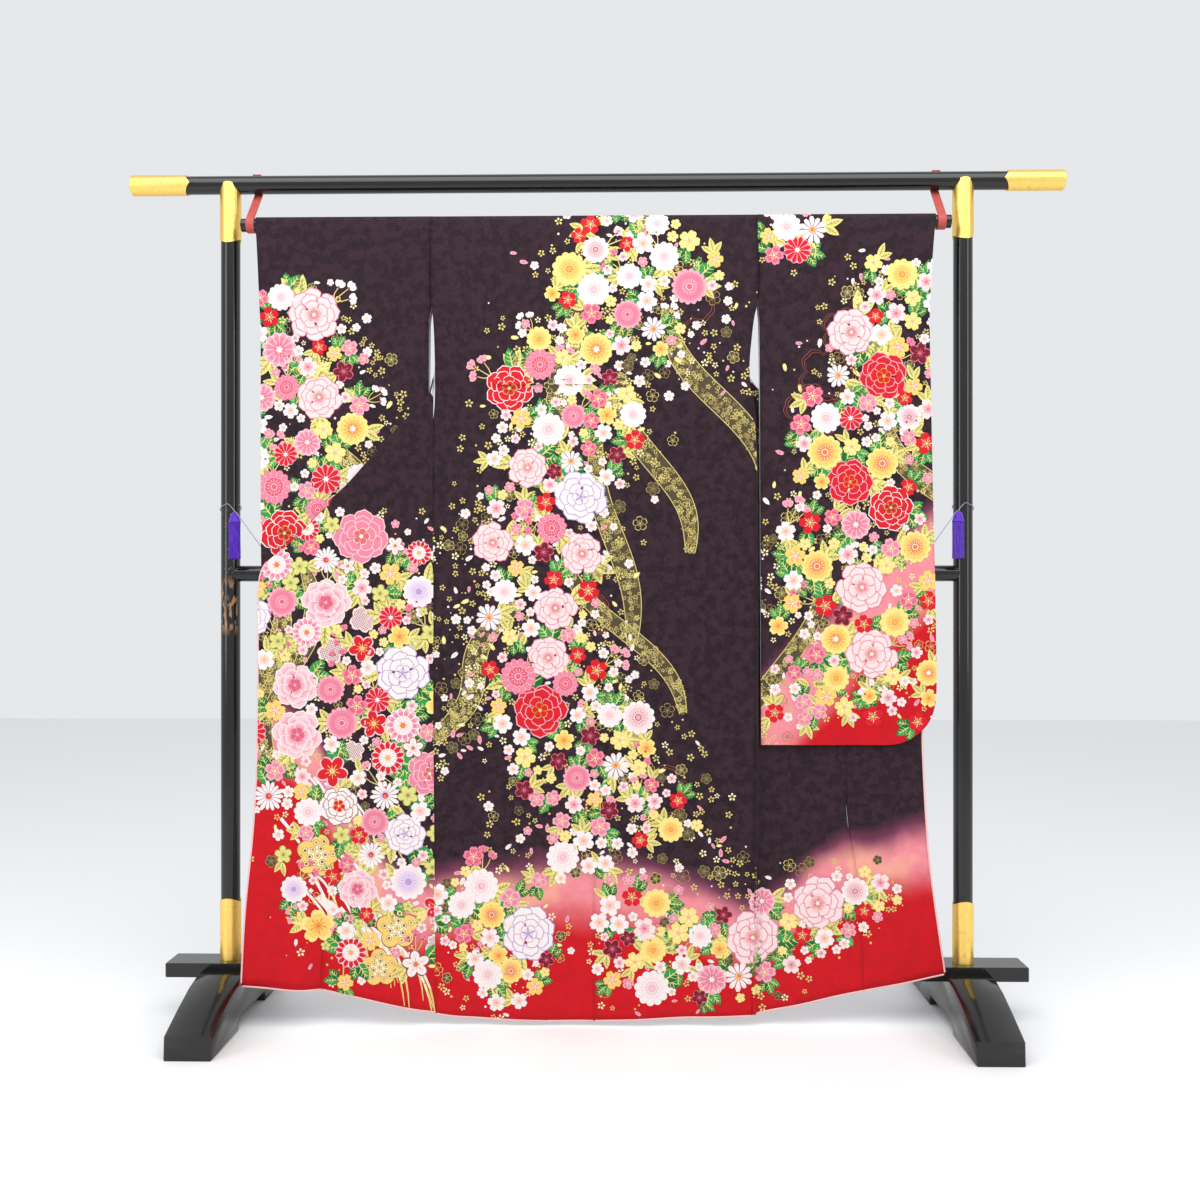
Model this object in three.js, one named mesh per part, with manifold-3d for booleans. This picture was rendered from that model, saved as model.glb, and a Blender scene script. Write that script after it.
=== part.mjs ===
// A furisode, a long-sleeved kimono, hung open on a lacquered kimono stand.
// Millimetres, +Z up, +X to the viewer's right, +Y away from the viewer, origin on the floor
// under the middle of the stand. The garment hangs over the rod with its back towards the viewer.
// Its left front is drawn out in front of the left sleeve, and its right front behind the right one.

import * as THREE from 'three';
import { mergeVertices } from 'three/addons/utils/BufferGeometryUtils.js';
import ManifoldModule from 'manifold-3d';

const wasm = await ManifoldModule();
wasm.setup();

// ---------------------------------------------------------------- driving dimensions

const GAP = 0.3; // clearance between pieces that touch
const WALL = 2; // outer silk and lining together
const SEAM_SHARE = 0.25; // each piece's share of the gap at a seam where the walls tilt

const RAIL = { height: 1669, radius: 18, halfLength: 931, sides: 32 };
const CAP = { length: 116, radius: 20.2, endThickness: 3, scallop: 12 };
const POST = { x: 732.5, radius: 19, sides: 28 };
const FITTING = { radius: 20.8, topLength: 120, bottomLength: 125, scallop: 10, sides: 28 };
const MID_RAIL = { height: 888, radius: 16 };
const ROD = { y: -36, height: 1577, radius: 13, halfLength: 698 };
const HOOK = { x: 679, width: 16, thickness: 2.5, startDeg: 100, endDeg: -35 };
const BEAM = {
  width: 88, height: 102, flat: 98, knee: 240, kneeHeight: 44,
  arch: 85, archHeight: 21, archCorner: 8, splay: 3,
};
const PLANK = { thickness: 28, depth: 66, reach: 120.5, top: 114 };
const BEVEL = 2;
const RAIL_REACH = 60; // cutting cylinders run this far past a joint of two round bars

const TASSEL = {
  x: 715, y: -29, top: 1009, length: 93, radius: 13.5, headLength: 20, neckRadius: 8.4, strandRadius: 1.3,
  strandRings: [6, 14, 22],
};
const CORD = {
  radius: 0.8,
  sides: 8,
  steps: 38,
  sleeveEdge: { left: { x: 660.2, y: -38, z: 941 }, right: { x: 664.9, y: -40.5, z: 947 } },
};

// The cloth lies on the rod with this radius at the middle of its wall.
const SADDLE = ROD.radius + GAP + 0.05 + WALL / 2;
const FAR_PLANE = ROD.y + SADDLE; // where cloth hangs down behind the rod
const NEAR_PLANE = ROD.y - SADDLE; // where cloth hangs down in front of it
const SHOULDER_SEAM = ROD.height - 10; // the fronts begin here, behind the rod
const SHOULDER = 1600; // above the rod: the tables' value for all that lies over it
const NECK = 86; // half the neck opening
const SLEEVE_JOIN = 1412; // the sleeve is sewn to the body above this height
const CUFF_BOTTOM = 1380; // the sleeve's outer edge is open above this height
const COLLAR = { width: 55, backHalf: 59 }; // backHalf is half the length of its own edge at the neck

// ---------------------------------------------------------------- tables

// Where the back's side edge runs, left and right, from the shoulder to the hem.
const BACK_SIDE = {
  left: [
    { z: SHOULDER, x: -320.2 }, { z: 1412, x: -320.2 }, { z: 1392, x: -314 }, { z: 1290, x: -311.5 },
    { z: 1215, x: -312 }, { z: 1190, x: -316 }, { z: 600, x: -316 }, { z: 20, x: -311 },
  ],
  right: [
    { z: SHOULDER, x: 320.2 }, { z: 1412, x: 320.2 }, { z: 1396, x: 312 }, { z: 1290, x: 301 },
    { z: 1211, x: 308.5 }, { z: 1090, x: 315 }, { z: 600, x: 315 }, { z: 20, x: 309 },
  ],
};

// The hem of the back, from side seam to side seam.
const BACK_HEM = [
  { x: -320, z: 26 }, { x: -292, z: 19.5 }, { x: -198, z: 13.5 }, { x: -73, z: 10 },
  { x: 0, z: 11 }, { x: 130, z: 16.5 }, { x: 320, z: 23 },
];

// Soft folds of the body: a ridge has a positive depth and comes nearer, a trough is negative.
const BACK_FOLDS = [
  { fromX: -292, fromZ: 1120, toX: -280, toZ: 20, width: 26, depth: 3.5 },
  { fromX: -215, fromZ: 900, toX: -228, toZ: 15, width: 34, depth: -3.5 },
  { fromX: -120, fromZ: 1200, toX: -140, toZ: 12, width: 44, depth: 3 },
  { fromX: -30, fromZ: 700, toX: -42, toZ: 10, width: 38, depth: -3.5 },
  { fromX: 70, fromZ: 900, toX: 84, toZ: 12, width: 46, depth: 4 },
  { fromX: 165, fromZ: 760, toX: 176, toZ: 18, width: 36, depth: -4 },
  { fromX: 235, fromZ: 1250, toX: 246, toZ: 20, width: 32, depth: 3 },
  { fromX: 292, fromZ: 820, toX: 292, toZ: 22, width: 20, depth: -3 },
];
const LEFT_FRONT_FOLDS = [
  { fromX: -346, fromZ: 1196, toX: -352, toZ: 1098, width: 13, depth: -3 },
  { fromX: -352, fromZ: 1098, toX: -440, toZ: 972, width: 17, depth: -2.5 },
  { fromX: -372, fromZ: 1160, toX: -448, toZ: 1040, width: 24, depth: 4 },
  { fromX: -385, fromZ: 900, toX: -395, toZ: 40, width: 34, depth: 5 },
  { fromX: -455, fromZ: 820, toX: -470, toZ: 60, width: 30, depth: 2.5 },
  { fromX: -560, fromZ: 760, toX: -580, toZ: 78, width: 36, depth: 5 },
  { fromX: -625, fromZ: 480, toX: -652, toZ: 82, width: 28, depth: -3 },
];
const RIGHT_FRONT_FOLDS = [
  { fromX: 352, fromZ: 620, toX: 348, toZ: 28, width: 26, depth: -3 },
  { fromX: 410, fromZ: 560, toX: 400, toZ: 40, width: 34, depth: 5 },
  { fromX: 470, fromZ: 480, toX: 474, toZ: 58, width: 28, depth: -2.5 },
  { fromX: 580, fromZ: 520, toX: 604, toZ: 84, width: 36, depth: 5 },
];
const RIGHT_SLEEVE_FOLDS = [
  { fromX: 400, fromZ: 1380, toX: 405, toZ: 560, width: 36, depth: 2.5 },
  { fromX: 505, fromZ: 1180, toX: 512, toZ: 560, width: 40, depth: -2.5 },
  { fromX: 590, fromZ: 1420, toX: 600, toZ: 640, width: 34, depth: 2.5 },
];
const LEFT_SLEEVE_FOLDS = [
  { fromX: -395, fromZ: 1440, toX: -402, toZ: 1250, width: 30, depth: 1.5 },
  { fromX: -600, fromZ: 1400, toX: -604, toZ: 1000, width: 34, depth: 1.5 },
];

// Sections of the left front, from the shoulder behind the rod, through the slit under the arm
// and out in front of the sleeve, to the hem. Each runs from the side edge to the collar edge.
const LEFT_FRONT = [
  { sideX: -320.2, sideY: FAR_PLANE, sideZ: 1566.7, edgeX: -86.3, edgeY: FAR_PLANE, edgeZ: 1566.7 },
  { sideX: -320.2, sideY: -21.7, sideZ: 1490, edgeX: -144, edgeY: -21.7, edgeZ: 1490 },
  { sideX: -320.2, sideY: -22, sideZ: 1414, edgeX: -202, edgeY: -22, edgeZ: 1414 },
  { sideX: -315, sideY: -24, sideZ: 1335, edgeX: -262, edgeY: -24, edgeZ: 1335 },
  { sideX: -315.5, sideY: -30, sideZ: 1290, edgeX: -298, edgeY: -25, edgeZ: 1302 },
  { sideX: -317.5, sideY: -39, sideZ: 1255, edgeX: -316.5, edgeY: -32, edgeZ: 1280 },
  { sideX: -318, sideY: -46, sideZ: 1228, edgeX: -320, edgeY: -43, edgeZ: 1258 },
  { sideX: -317.2, sideY: -50.5, sideZ: 1208, edgeX: -325, edgeY: -52, edgeZ: 1236 },
  { sideX: -316.4, sideY: -51, sideZ: 1184, edgeX: -344, edgeY: -53, edgeZ: 1218 },
  { sideX: -316.5, sideY: -51, sideZ: 1130, edgeX: -384, edgeY: -54.5, edgeZ: 1175 },
  { sideX: -316.5, sideY: -51, sideZ: 1062, edgeX: -424, edgeY: -54.5, edgeZ: 1130 },
  { sideX: -316.5, sideY: -51, sideZ: 990, edgeX: -487, edgeY: -54.5, edgeZ: 1059 },
  { sideX: -316.5, sideY: -51, sideZ: 930, edgeX: -522, edgeY: -54.5, edgeZ: 1021 },
  { sideX: -316.5, sideY: -51, sideZ: 820, edgeX: -523.5, edgeY: -54.5, edgeZ: 880 },
  { sideX: -316.5, sideY: -51, sideZ: 600, edgeX: -526, edgeY: -54, edgeZ: 660 },
  { sideX: -314.9, sideY: -51, sideZ: 400, edgeX: -528.5, edgeY: -54, edgeZ: 450 },
  { sideX: -313.3, sideY: -51, sideZ: 200, edgeX: -531, edgeY: -57, edgeZ: 248 },
  { sideX: -311.7, sideY: -51, sideZ: 26, edgeX: -533.3, edgeY: -62, edgeZ: 73.7 },
];

// The right front does the same behind the sleeve: it turns outwards under the arm.
const RIGHT_FRONT = [
  { sideX: 320.2, sideY: FAR_PLANE, sideZ: 1566.7, edgeX: 86.3, edgeY: FAR_PLANE, edgeZ: 1566.7 },
  { sideX: 319.8, sideY: -21.7, sideZ: 1490, edgeX: 144, edgeY: -21.7, edgeZ: 1490 },
  { sideX: 316, sideY: -22, sideZ: 1414, edgeX: 202, edgeY: -22, edgeZ: 1414 },
  { sideX: 298, sideY: -25, sideZ: 1335, edgeX: 262, edgeY: -25, edgeZ: 1335 },
  { sideX: 302, sideY: -34, sideZ: 1290, edgeX: 281, edgeY: -27, edgeZ: 1304 },
  { sideX: 306, sideY: -45, sideZ: 1250, edgeX: 305, edgeY: -28, edgeZ: 1270 },
  { sideX: 310.6, sideY: -51, sideZ: 1208, edgeX: 336, edgeY: -28, edgeZ: 1234 },
  { sideX: 313, sideY: -51, sideZ: 1170, edgeX: 372, edgeY: -28, edgeZ: 1200 },
  { sideX: 316.6, sideY: -51, sideZ: 1090, edgeX: 430, edgeY: -28, edgeZ: 1146 },
  { sideX: 316.6, sideY: -51, sideZ: 1020, edgeX: 494.5, edgeY: -28, edgeZ: 1084 },
  { sideX: 316.6, sideY: -51, sideZ: 800, edgeX: 494.5, edgeY: -28, edgeZ: 850 },
  { sideX: 316.6, sideY: -51, sideZ: 600, edgeX: 494.5, edgeY: -29, edgeZ: 640 },
  { sideX: 314.6, sideY: -51, sideZ: 400, edgeX: 494.5, edgeY: -34, edgeZ: 440 },
  { sideX: 313.4, sideY: -51, sideZ: 300, edgeX: 512, edgeY: -37, edgeZ: 335 },
  { sideX: 312.4, sideY: -51, sideZ: 190, edgeX: 522, edgeY: -40, edgeZ: 230 },
  { sideX: 310.5, sideY: -51, sideZ: 23.5, edgeX: 528.2, edgeY: -42, edgeZ: 70.7 },
];

// The seam between each front and its overlap panel, from the panel's tip at the collar to the hem.
const OKUMI_SEAM = {
  left: [{ z: 1030, x: -522.2 }, { z: 660, x: -526.2 }, { z: 70, x: -533.5 }],
  right: [
    { z: 1090, x: 494.6 }, { z: 400, x: 494.6 }, { z: 330, x: 510.5 }, { z: 225, x: 522.3 },
    { z: 70, x: 528.4 },
  ],
};

// The overlap panels, each section from its seam with the front to the free edge.
const LEFT_OKUMI = [
  { sideX: -522.4, sideY: -54.5, sideZ: 1020, edgeX: -527, edgeY: -54.5, edgeZ: 1016 },
  { sideX: -522.9, sideY: -54.5, sideZ: 965, edgeX: -566, edgeY: -54.5, edgeZ: 976 },
  { sideX: -523.6, sideY: -54.5, sideZ: 900, edgeX: -612, edgeY: -54.5, edgeZ: 934 },
  { sideX: -524.4, sideY: -54.5, sideZ: 830, edgeX: -658.5, edgeY: -54.5, edgeZ: 893 },
  { sideX: -525.4, sideY: -54.2, sideZ: 740, edgeX: -660, edgeY: -54.5, edgeZ: 760 },
  { sideX: -526.8, sideY: -54, sideZ: 620, edgeX: -660.5, edgeY: -54.5, edgeZ: 640 },
  { sideX: -528.3, sideY: -54, sideZ: 490, edgeX: -662.5, edgeY: -55, edgeZ: 497 },
  { sideX: -530, sideY: -55, sideZ: 360, edgeX: -669.5, edgeY: -58, edgeZ: 370 },
  { sideX: -531.6, sideY: -57.5, sideZ: 220, edgeX: -682.5, edgeY: -66, edgeZ: 228 },
  { sideX: -533.6, sideY: -62, sideZ: 73.7, edgeX: -686, edgeY: -80, edgeZ: 84 },
];
const RIGHT_OKUMI = [
  { sideX: 494.8, sideY: -28, sideZ: 1083, edgeX: 499, edgeY: -28, edgeZ: 1079 },
  { sideX: 494.8, sideY: -28, sideZ: 1010, edgeX: 567, edgeY: -28, edgeZ: 995 },
  { sideX: 494.8, sideY: -28, sideZ: 900, edgeX: 639, edgeY: -28, edgeZ: 905 },
  { sideX: 494.8, sideY: -28, sideZ: 740, edgeX: 642, edgeY: -28, edgeZ: 745 },
  { sideX: 494.8, sideY: -30.5, sideZ: 570, edgeX: 643, edgeY: -30.5, edgeZ: 575 },
  { sideX: 494.8, sideY: -34, sideZ: 430, edgeX: 648, edgeY: -34, edgeZ: 440 },
  { sideX: 512.3, sideY: -37, sideZ: 325, edgeX: 654, edgeY: -37, edgeZ: 335 },
  { sideX: 522.3, sideY: -40, sideZ: 215, edgeX: 669, edgeY: -40, edgeZ: 215 },
  { sideX: 528.5, sideY: -42, sideZ: 70.7, edgeX: 685.5, edgeY: -42, edgeZ: 103.5 },
];

// The collar's long stretches: each section from the seam with the front to the collar's own edge.
const LEFT_COLLAR = [
  { sideX: -86, sideY: FAR_PLANE, sideZ: 1566.4, edgeX: -59, edgeY: FAR_PLANE, edgeZ: 1511.4 },
  { sideX: -143.6, sideY: -21.7, sideZ: 1490, edgeX: -99.6, edgeY: -21.7, edgeZ: 1457 },
  { sideX: -201.6, sideY: -22, sideZ: 1414, edgeX: -157.6, edgeY: -22, edgeZ: 1381 },
  { sideX: -261, sideY: -24, sideZ: 1334.4, edgeX: -217, edgeY: -24, edgeZ: 1301.4 },
  { sideX: -285, sideY: -25, sideZ: 1306, edgeX: -246, edgeY: -25, edgeZ: 1272 },
];
const RIGHT_COLLAR = [
  { sideX: 86, sideY: FAR_PLANE, sideZ: 1566.4, edgeX: 59, edgeY: FAR_PLANE, edgeZ: 1511.4 },
  { sideX: 143.6, sideY: -21.7, sideZ: 1490, edgeX: 99.6, edgeY: -21.7, edgeZ: 1457 },
  { sideX: 201.6, sideY: -21.7, sideZ: 1414, edgeX: 157.6, edgeY: -21.7, edgeZ: 1381 },
  { sideX: 261, sideY: -22.6, sideZ: 1334.4, edgeX: 217, edgeY: -22.6, edgeZ: 1301.4 },
  { sideX: 336, sideY: -25.6, sideZ: 1236, edgeX: 294, edgeY: -24.6, edgeZ: 1201 },
  { sideX: 494.5, sideY: -25.6, sideZ: 1084, edgeX: 455, edgeY: -24.8, edgeZ: 1046 },
  { sideX: 639, sideY: -25.6, sideZ: 905, edgeX: 598, edgeY: -24.8, edgeZ: 869 },
];
const LEFT_COLLAR_END = [
  { sideX: -346, sideY: -49.4, sideZ: 1212, edgeX: -332, edgeY: -48.8, edgeZ: 1168 },
  { sideX: -424, sideY: -50.8, sideZ: 1126, edgeX: -383, edgeY: -49.2, edgeZ: 1089 },
  { sideX: -487, sideY: -52, sideZ: 1055, edgeX: -446, edgeY: -49.6, edgeZ: 1018 },
  { sideX: -566, sideY: -52.1, sideZ: 972, edgeX: -526, edgeY: -49.8, edgeZ: 934 },
  { sideX: -655, sideY: -52.1, sideZ: 890, edgeX: -616, edgeY: -49.8, edgeZ: 851 },
];

// Sleeve outlines and depths by height. outer and inner are its edges away from and next to the body.
const SLEEVE = {
  right: {
    outer: [
      { z: SHOULDER, x: 667 }, { z: 1500, x: 658 }, { z: 1422, x: 655 }, { z: 1089, x: 660.5 },
      { z: 835, x: 667 }, { z: 646, x: 669.5 },
    ],
    inner: [
      { z: SHOULDER, x: 320.5 }, { z: 1412, x: 320.5 }, { z: 1394, x: 324 }, { z: 540, x: 328 },
    ],
    near: [
      { z: 1577, y: -51.35 }, { z: 1400, y: -51 }, { z: 1250, y: -50.5 }, { z: 900, y: -50 },
      { z: 551, y: -45 },
    ],
    far: [
      { z: 1577, y: -20.65 }, { z: 1414, y: -21 }, { z: 1250, y: -31 }, { z: 900, y: -32 },
      { z: 551, y: -35.5 },
    ],
    bottom: 551,
    cornerRadius: 95,
    folds: RIGHT_SLEEVE_FOLDS,
  },
  left: {
    outer: [
      { z: SHOULDER, x: -668 }, { z: 1500, x: -662 }, { z: 1422, x: -660 }, { z: 893, x: -659 },
      { z: 640, x: -652 },
    ],
    inner: [
      { z: SHOULDER, x: -320.5 }, { z: 1412, x: -320.5 }, { z: 1394, x: -326 }, { z: 540, x: -330 },
    ],
    near: [
      { z: 1577, y: -51.35 }, { z: 1400, y: -49.5 }, { z: 1250, y: -46.5 }, { z: 900, y: -46 },
      { z: 551, y: -42.5 },
    ],
    far: [
      { z: 1577, y: -20.65 }, { z: 1414, y: -21 }, { z: 1250, y: -27 }, { z: 900, y: -29 }, { z: 551, y: -33 },
    ],
    bottom: 551,
    cornerRadius: 92,
    folds: LEFT_SLEEVE_FOLDS,
  },
};

// ---------------------------------------------------------------- materials

function finish(colour, roughness, metalness = 0) {
  return new THREE.MeshStandardMaterial({ color: colour, roughness, metalness });
}

const BLACK_LACQUER = finish(0x16130f, 0.2);
const GILT = finish(0xd9a93c, 0.32, 1);
const RED_STRAP = finish(0xa8322c, 0.6);
const PURPLE_SILK = finish(0x4a1fa0, 0.6);
const GREY_SILK = finish(0x8d7f96, 0.7);
const DYED_SILK = finish(0x4a3940, 0.75);
const DYED_COLLAR = finish(0x43343b, 0.75);

// ---------------------------------------------------------------- helpers

const rad = THREE.MathUtils.degToRad;
const part = new THREE.Group();

// The same shape with each shared corner stored once.
function withSharedCorners(geometry) {
  const bare = geometry.clone();
  bare.deleteAttribute('normal');
  bare.deleteAttribute('uv');
  return mergeVertices(bare, 1e-4);
}

function addPiece(name, geometry, material) {
  const merged = withSharedCorners(geometry);
  merged.computeVertexNormals();
  const mesh = new THREE.Mesh(merged, material);
  mesh.name = name;
  part.add(mesh);
}

function solidFrom(geometry) {
  const merged = withSharedCorners(geometry);
  const vertProperties = new Float32Array(merged.attributes.position.array);
  const triVerts = new Uint32Array(merged.index.array);
  return new wasm.Manifold(new wasm.Mesh({ numProp: 3, vertProperties, triVerts }));
}

function geometryFrom(solid) {
  const mesh = solid.getMesh();
  const geometry = new THREE.BufferGeometry();
  geometry.setAttribute('position', new THREE.BufferAttribute(mesh.vertProperties, 3));
  geometry.setIndex(new THREE.BufferAttribute(mesh.triVerts, 1));
  return geometry;
}

// A closed mesh from points and triangles, turned so that its faces point out.
function closedGeometry(points, triangles) {
  let volume = 0;
  for (const triangle of triangles) {
    const [a, b, c] = triangle.map((i) => points[i]);
    volume += a.dot(new THREE.Vector3().crossVectors(b, c));
  }
  const outward = volume > 0 ? triangles : triangles.map(([a, b, c]) => [a, c, b]);
  const geometry = new THREE.BufferGeometry();
  const flat = points.flatMap((p) => [p.x, p.y, p.z]);
  geometry.setAttribute('position', new THREE.Float32BufferAttribute(flat, 3));
  geometry.setIndex(outward.flat());
  return geometry;
}

// The value of a table's column at a height or place, straight from one row to the next.
function along(table, keyName, valueName, key) {
  const rows = table[0][keyName] < table[table.length - 1][keyName] ? table : [...table].reverse();
  if (key <= rows[0][keyName]) {
    return rows[0][valueName];
  }
  for (let i = 1; i < rows.length; i += 1) {
    if (key <= rows[i][keyName]) {
      const t = (key - rows[i - 1][keyName]) / (rows[i][keyName] - rows[i - 1][keyName]);
      return THREE.MathUtils.lerp(rows[i - 1][valueName], rows[i][valueName], t);
    }
  }
  return rows[rows.length - 1][valueName];
}

// How much nearer the folds bring a point of the cloth.
function foldDepth(folds, x, z) {
  let depth = 0;
  for (const fold of folds) {
    const dx = fold.toX - fold.fromX;
    const dz = fold.toZ - fold.fromZ;
    const length = Math.hypot(dx, dz);
    const t = ((x - fold.fromX) * dx + (z - fold.fromZ) * dz) / (length * length);
    const across = ((x - fold.fromX) * dz - (z - fold.fromZ) * dx) / length;
    const beyond = Math.max(0, -t, t - 1) * length;
    const grown = THREE.MathUtils.clamp(t * 1.5, 0, 1);
    const reach = Math.exp(-((across / fold.width) ** 2) - (beyond / (2 * fold.width)) ** 2);
    depth += fold.depth * reach * grown;
  }
  return depth;
}

// A wall of even thickness about a grid of points: rows[i][j] are its middle surface.
function wallGeometry(rows, thickness) {
  const rowCount = rows.length;
  const columnCount = rows[0].length;
  const normalAt = (i, j) => {
    const down = rows[Math.min(i + 1, rowCount - 1)][j].clone().sub(rows[Math.max(i - 1, 0)][j]);
    const across = rows[i][Math.min(j + 1, columnCount - 1)].clone().sub(rows[i][Math.max(j - 1, 0)]);
    return across.cross(down).normalize();
  };
  const points = [];
  for (const side of [1, -1]) {
    for (let i = 0; i < rowCount; i += 1) {
      for (let j = 0; j < columnCount; j += 1) {
        points.push(rows[i][j].clone().addScaledVector(normalAt(i, j), (side * thickness) / 2));
      }
    }
  }
  const index = (side, i, j) => side * rowCount * columnCount + i * columnCount + j;
  const triangles = [];
  const quad = (a, b, c, d) => triangles.push([a, b, c], [a, c, d]);
  for (let i = 0; i < rowCount - 1; i += 1) {
    for (let j = 0; j < columnCount - 1; j += 1) {
      quad(index(0, i, j), index(0, i + 1, j), index(0, i + 1, j + 1), index(0, i, j + 1));
      quad(index(1, i, j), index(1, i, j + 1), index(1, i + 1, j + 1), index(1, i + 1, j));
    }
  }
  for (let i = 0; i < rowCount - 1; i += 1) {
    const last = columnCount - 1;
    quad(index(0, i, 0), index(1, i, 0), index(1, i + 1, 0), index(0, i + 1, 0));
    quad(index(0, i, last), index(0, i + 1, last), index(1, i + 1, last), index(1, i, last));
  }
  for (let j = 0; j < columnCount - 1; j += 1) {
    const last = rowCount - 1;
    quad(index(0, 0, j), index(0, 0, j + 1), index(1, 0, j + 1), index(1, 0, j));
    quad(index(0, last, j), index(1, last, j), index(1, last, j + 1), index(0, last, j + 1));
  }
  return closedGeometry(points, triangles);
}

function cylinderAlongX(radius, halfLength, sides) {
  return new THREE.CylinderGeometry(radius, radius, 2 * halfLength, sides).rotateZ(Math.PI / 2);
}

function cylinderAlongZ(radius, bottom, top, sides) {
  const geometry = new THREE.CylinderGeometry(radius, radius, top - bottom, sides).rotateX(Math.PI / 2);
  return geometry.translate(0, 0, (top + bottom) / 2);
}

// A thin collar round the Z axis, whose ends are shaped by the angle round it (0 at +X).
function shapedRing(inner, outer, bottomAt, topAt, sides) {
  const points = [];
  const triangles = [];
  for (let i = 0; i < sides; i += 1) {
    const angle = (2 * Math.PI * i) / sides;
    const bottom = bottomAt(angle);
    const top = topAt(angle);
    for (const [radius, z] of [[outer, bottom], [outer, top], [inner, top], [inner, bottom]]) {
      points.push(new THREE.Vector3(radius * Math.cos(angle), radius * Math.sin(angle), z));
    }
  }
  const corners = 4;
  for (let i = 0; i < sides; i += 1) {
    const here = i * corners;
    const next = ((i + 1) % sides) * corners;
    for (let k = 0; k < corners; k += 1) {
      const up = (k + 1) % corners;
      triangles.push([here + k, next + k, next + up], [here + k, next + up, here + up]);
    }
  }
  return closedGeometry(points, triangles);
}

// A profile in the Y-Z plane, extruded along X about its middle, with bevelled edges.
function extrudedAlongX(outline, width, bevel) {
  const settings = {
    depth: width - 2 * bevel,
    bevelEnabled: bevel > 0,
    bevelThickness: bevel,
    bevelSize: bevel,
    bevelOffset: -bevel,
    bevelSegments: 1,
    curveSegments: 12,
  };
  const geometry = new THREE.ExtrudeGeometry(new THREE.Shape(outline), settings);
  geometry.translate(0, 0, -(width - 2 * bevel) / 2);
  // Shape X becomes world Y, shape Y becomes world Z, and the extrusion runs along X.
  return geometry.rotateX(Math.PI / 2).rotateZ(Math.PI / 2);
}

// ---------------------------------------------------------------- the stand

function railCap(side) {
  const edge = RAIL.halfLength - CAP.length;
  const tongue = (angle) => CAP.scallop * (1 - Math.abs(Math.cos(angle)) ** 0.7);
  const wall = shapedRing(
    RAIL.radius + GAP, CAP.radius, (angle) => edge - tongue(angle) + CAP.scallop / 2,
    () => RAIL.halfLength - CAP.endThickness + BEVEL / 2, FITTING.sides,
  );
  const endProfile = [
    new THREE.Vector2(0, RAIL.halfLength - CAP.endThickness),
    new THREE.Vector2(CAP.radius, RAIL.halfLength - CAP.endThickness),
    new THREE.Vector2(CAP.radius, RAIL.halfLength - BEVEL / 2),
    new THREE.Vector2(CAP.radius - BEVEL / 2, RAIL.halfLength),
    new THREE.Vector2(0, RAIL.halfLength),
  ];
  const end = new THREE.LatheGeometry(endProfile, FITTING.sides).rotateX(Math.PI / 2).rotateZ(Math.PI);
  const cap = geometryFrom(solidFrom(wall).add(solidFrom(end)));
  return cap.rotateY((side * Math.PI) / 2).translate(0, 0, RAIL.height);
}

function rails() {
  const railHalf = RAIL.halfLength - CAP.endThickness - GAP;
  const rail = cylinderAlongX(RAIL.radius, railHalf, RAIL.sides).translate(0, 0, RAIL.height);
  addPiece('top_rail', rail, BLACK_LACQUER);
  addPiece('rail_cap_left', railCap(-1), GILT);
  addPiece('rail_cap_right', railCap(1), GILT);

  // The rail's ends are hollowed to the posts that they meet.
  const middleBar = cylinderAlongX(MID_RAIL.radius, POST.x, RAIL.sides).translate(0, 0, MID_RAIL.height);
  const [below, above] = [MID_RAIL.height - RAIL_REACH, MID_RAIL.height + RAIL_REACH];
  let middle = solidFrom(middleBar);
  for (const side of [-1, 1]) {
    const socket = cylinderAlongZ(POST.radius + GAP, below, above, POST.sides * 2);
    middle = middle.subtract(solidFrom(socket.translate(side * POST.x, 0, 0)));
  }
  addPiece('mid_rail', geometryFrom(middle), BLACK_LACQUER);

  const rod = cylinderAlongX(ROD.radius, ROD.halfLength, RAIL.sides).translate(0, ROD.y, ROD.height);
  addPiece('hanging_rod', rod, BLACK_LACQUER);
}

// The fitting at a post's head rises in an arched lip on either side of the rail.
function postTopFitting() {
  const bottom = RAIL.height - FITTING.topLength;
  const lipFoot = RAIL.height - RAIL.radius - 1;
  const lipRise = RAIL.radius + 3;
  const lower = (angle) => bottom + scallopAt(angle);
  const upper = (angle) => lipFoot + lipRise * Math.abs(Math.sin(angle)) ** 0.9;
  const ring = shapedRing(POST.radius + GAP, FITTING.radius, lower, upper, FITTING.sides);
  const rail = cylinderAlongX(RAIL.radius + GAP, RAIL_REACH, RAIL.sides * 2).translate(0, 0, RAIL.height);
  return geometryFrom(solidFrom(ring).subtract(solidFrom(rail)));
}

function postBottomFitting() {
  const bottom = PLANK.top + GAP;
  const upper = (angle) => bottom + FITTING.bottomLength - scallopAt(angle);
  return shapedRing(POST.radius + GAP, FITTING.radius, () => bottom, upper, FITTING.sides);
}

// A fitting's free edge is longest at the front and back, and draws back at either side.
function scallopAt(angle) {
  return FITTING.scallop * (1 - Math.abs(Math.sin(angle)) ** 1.5);
}

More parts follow.
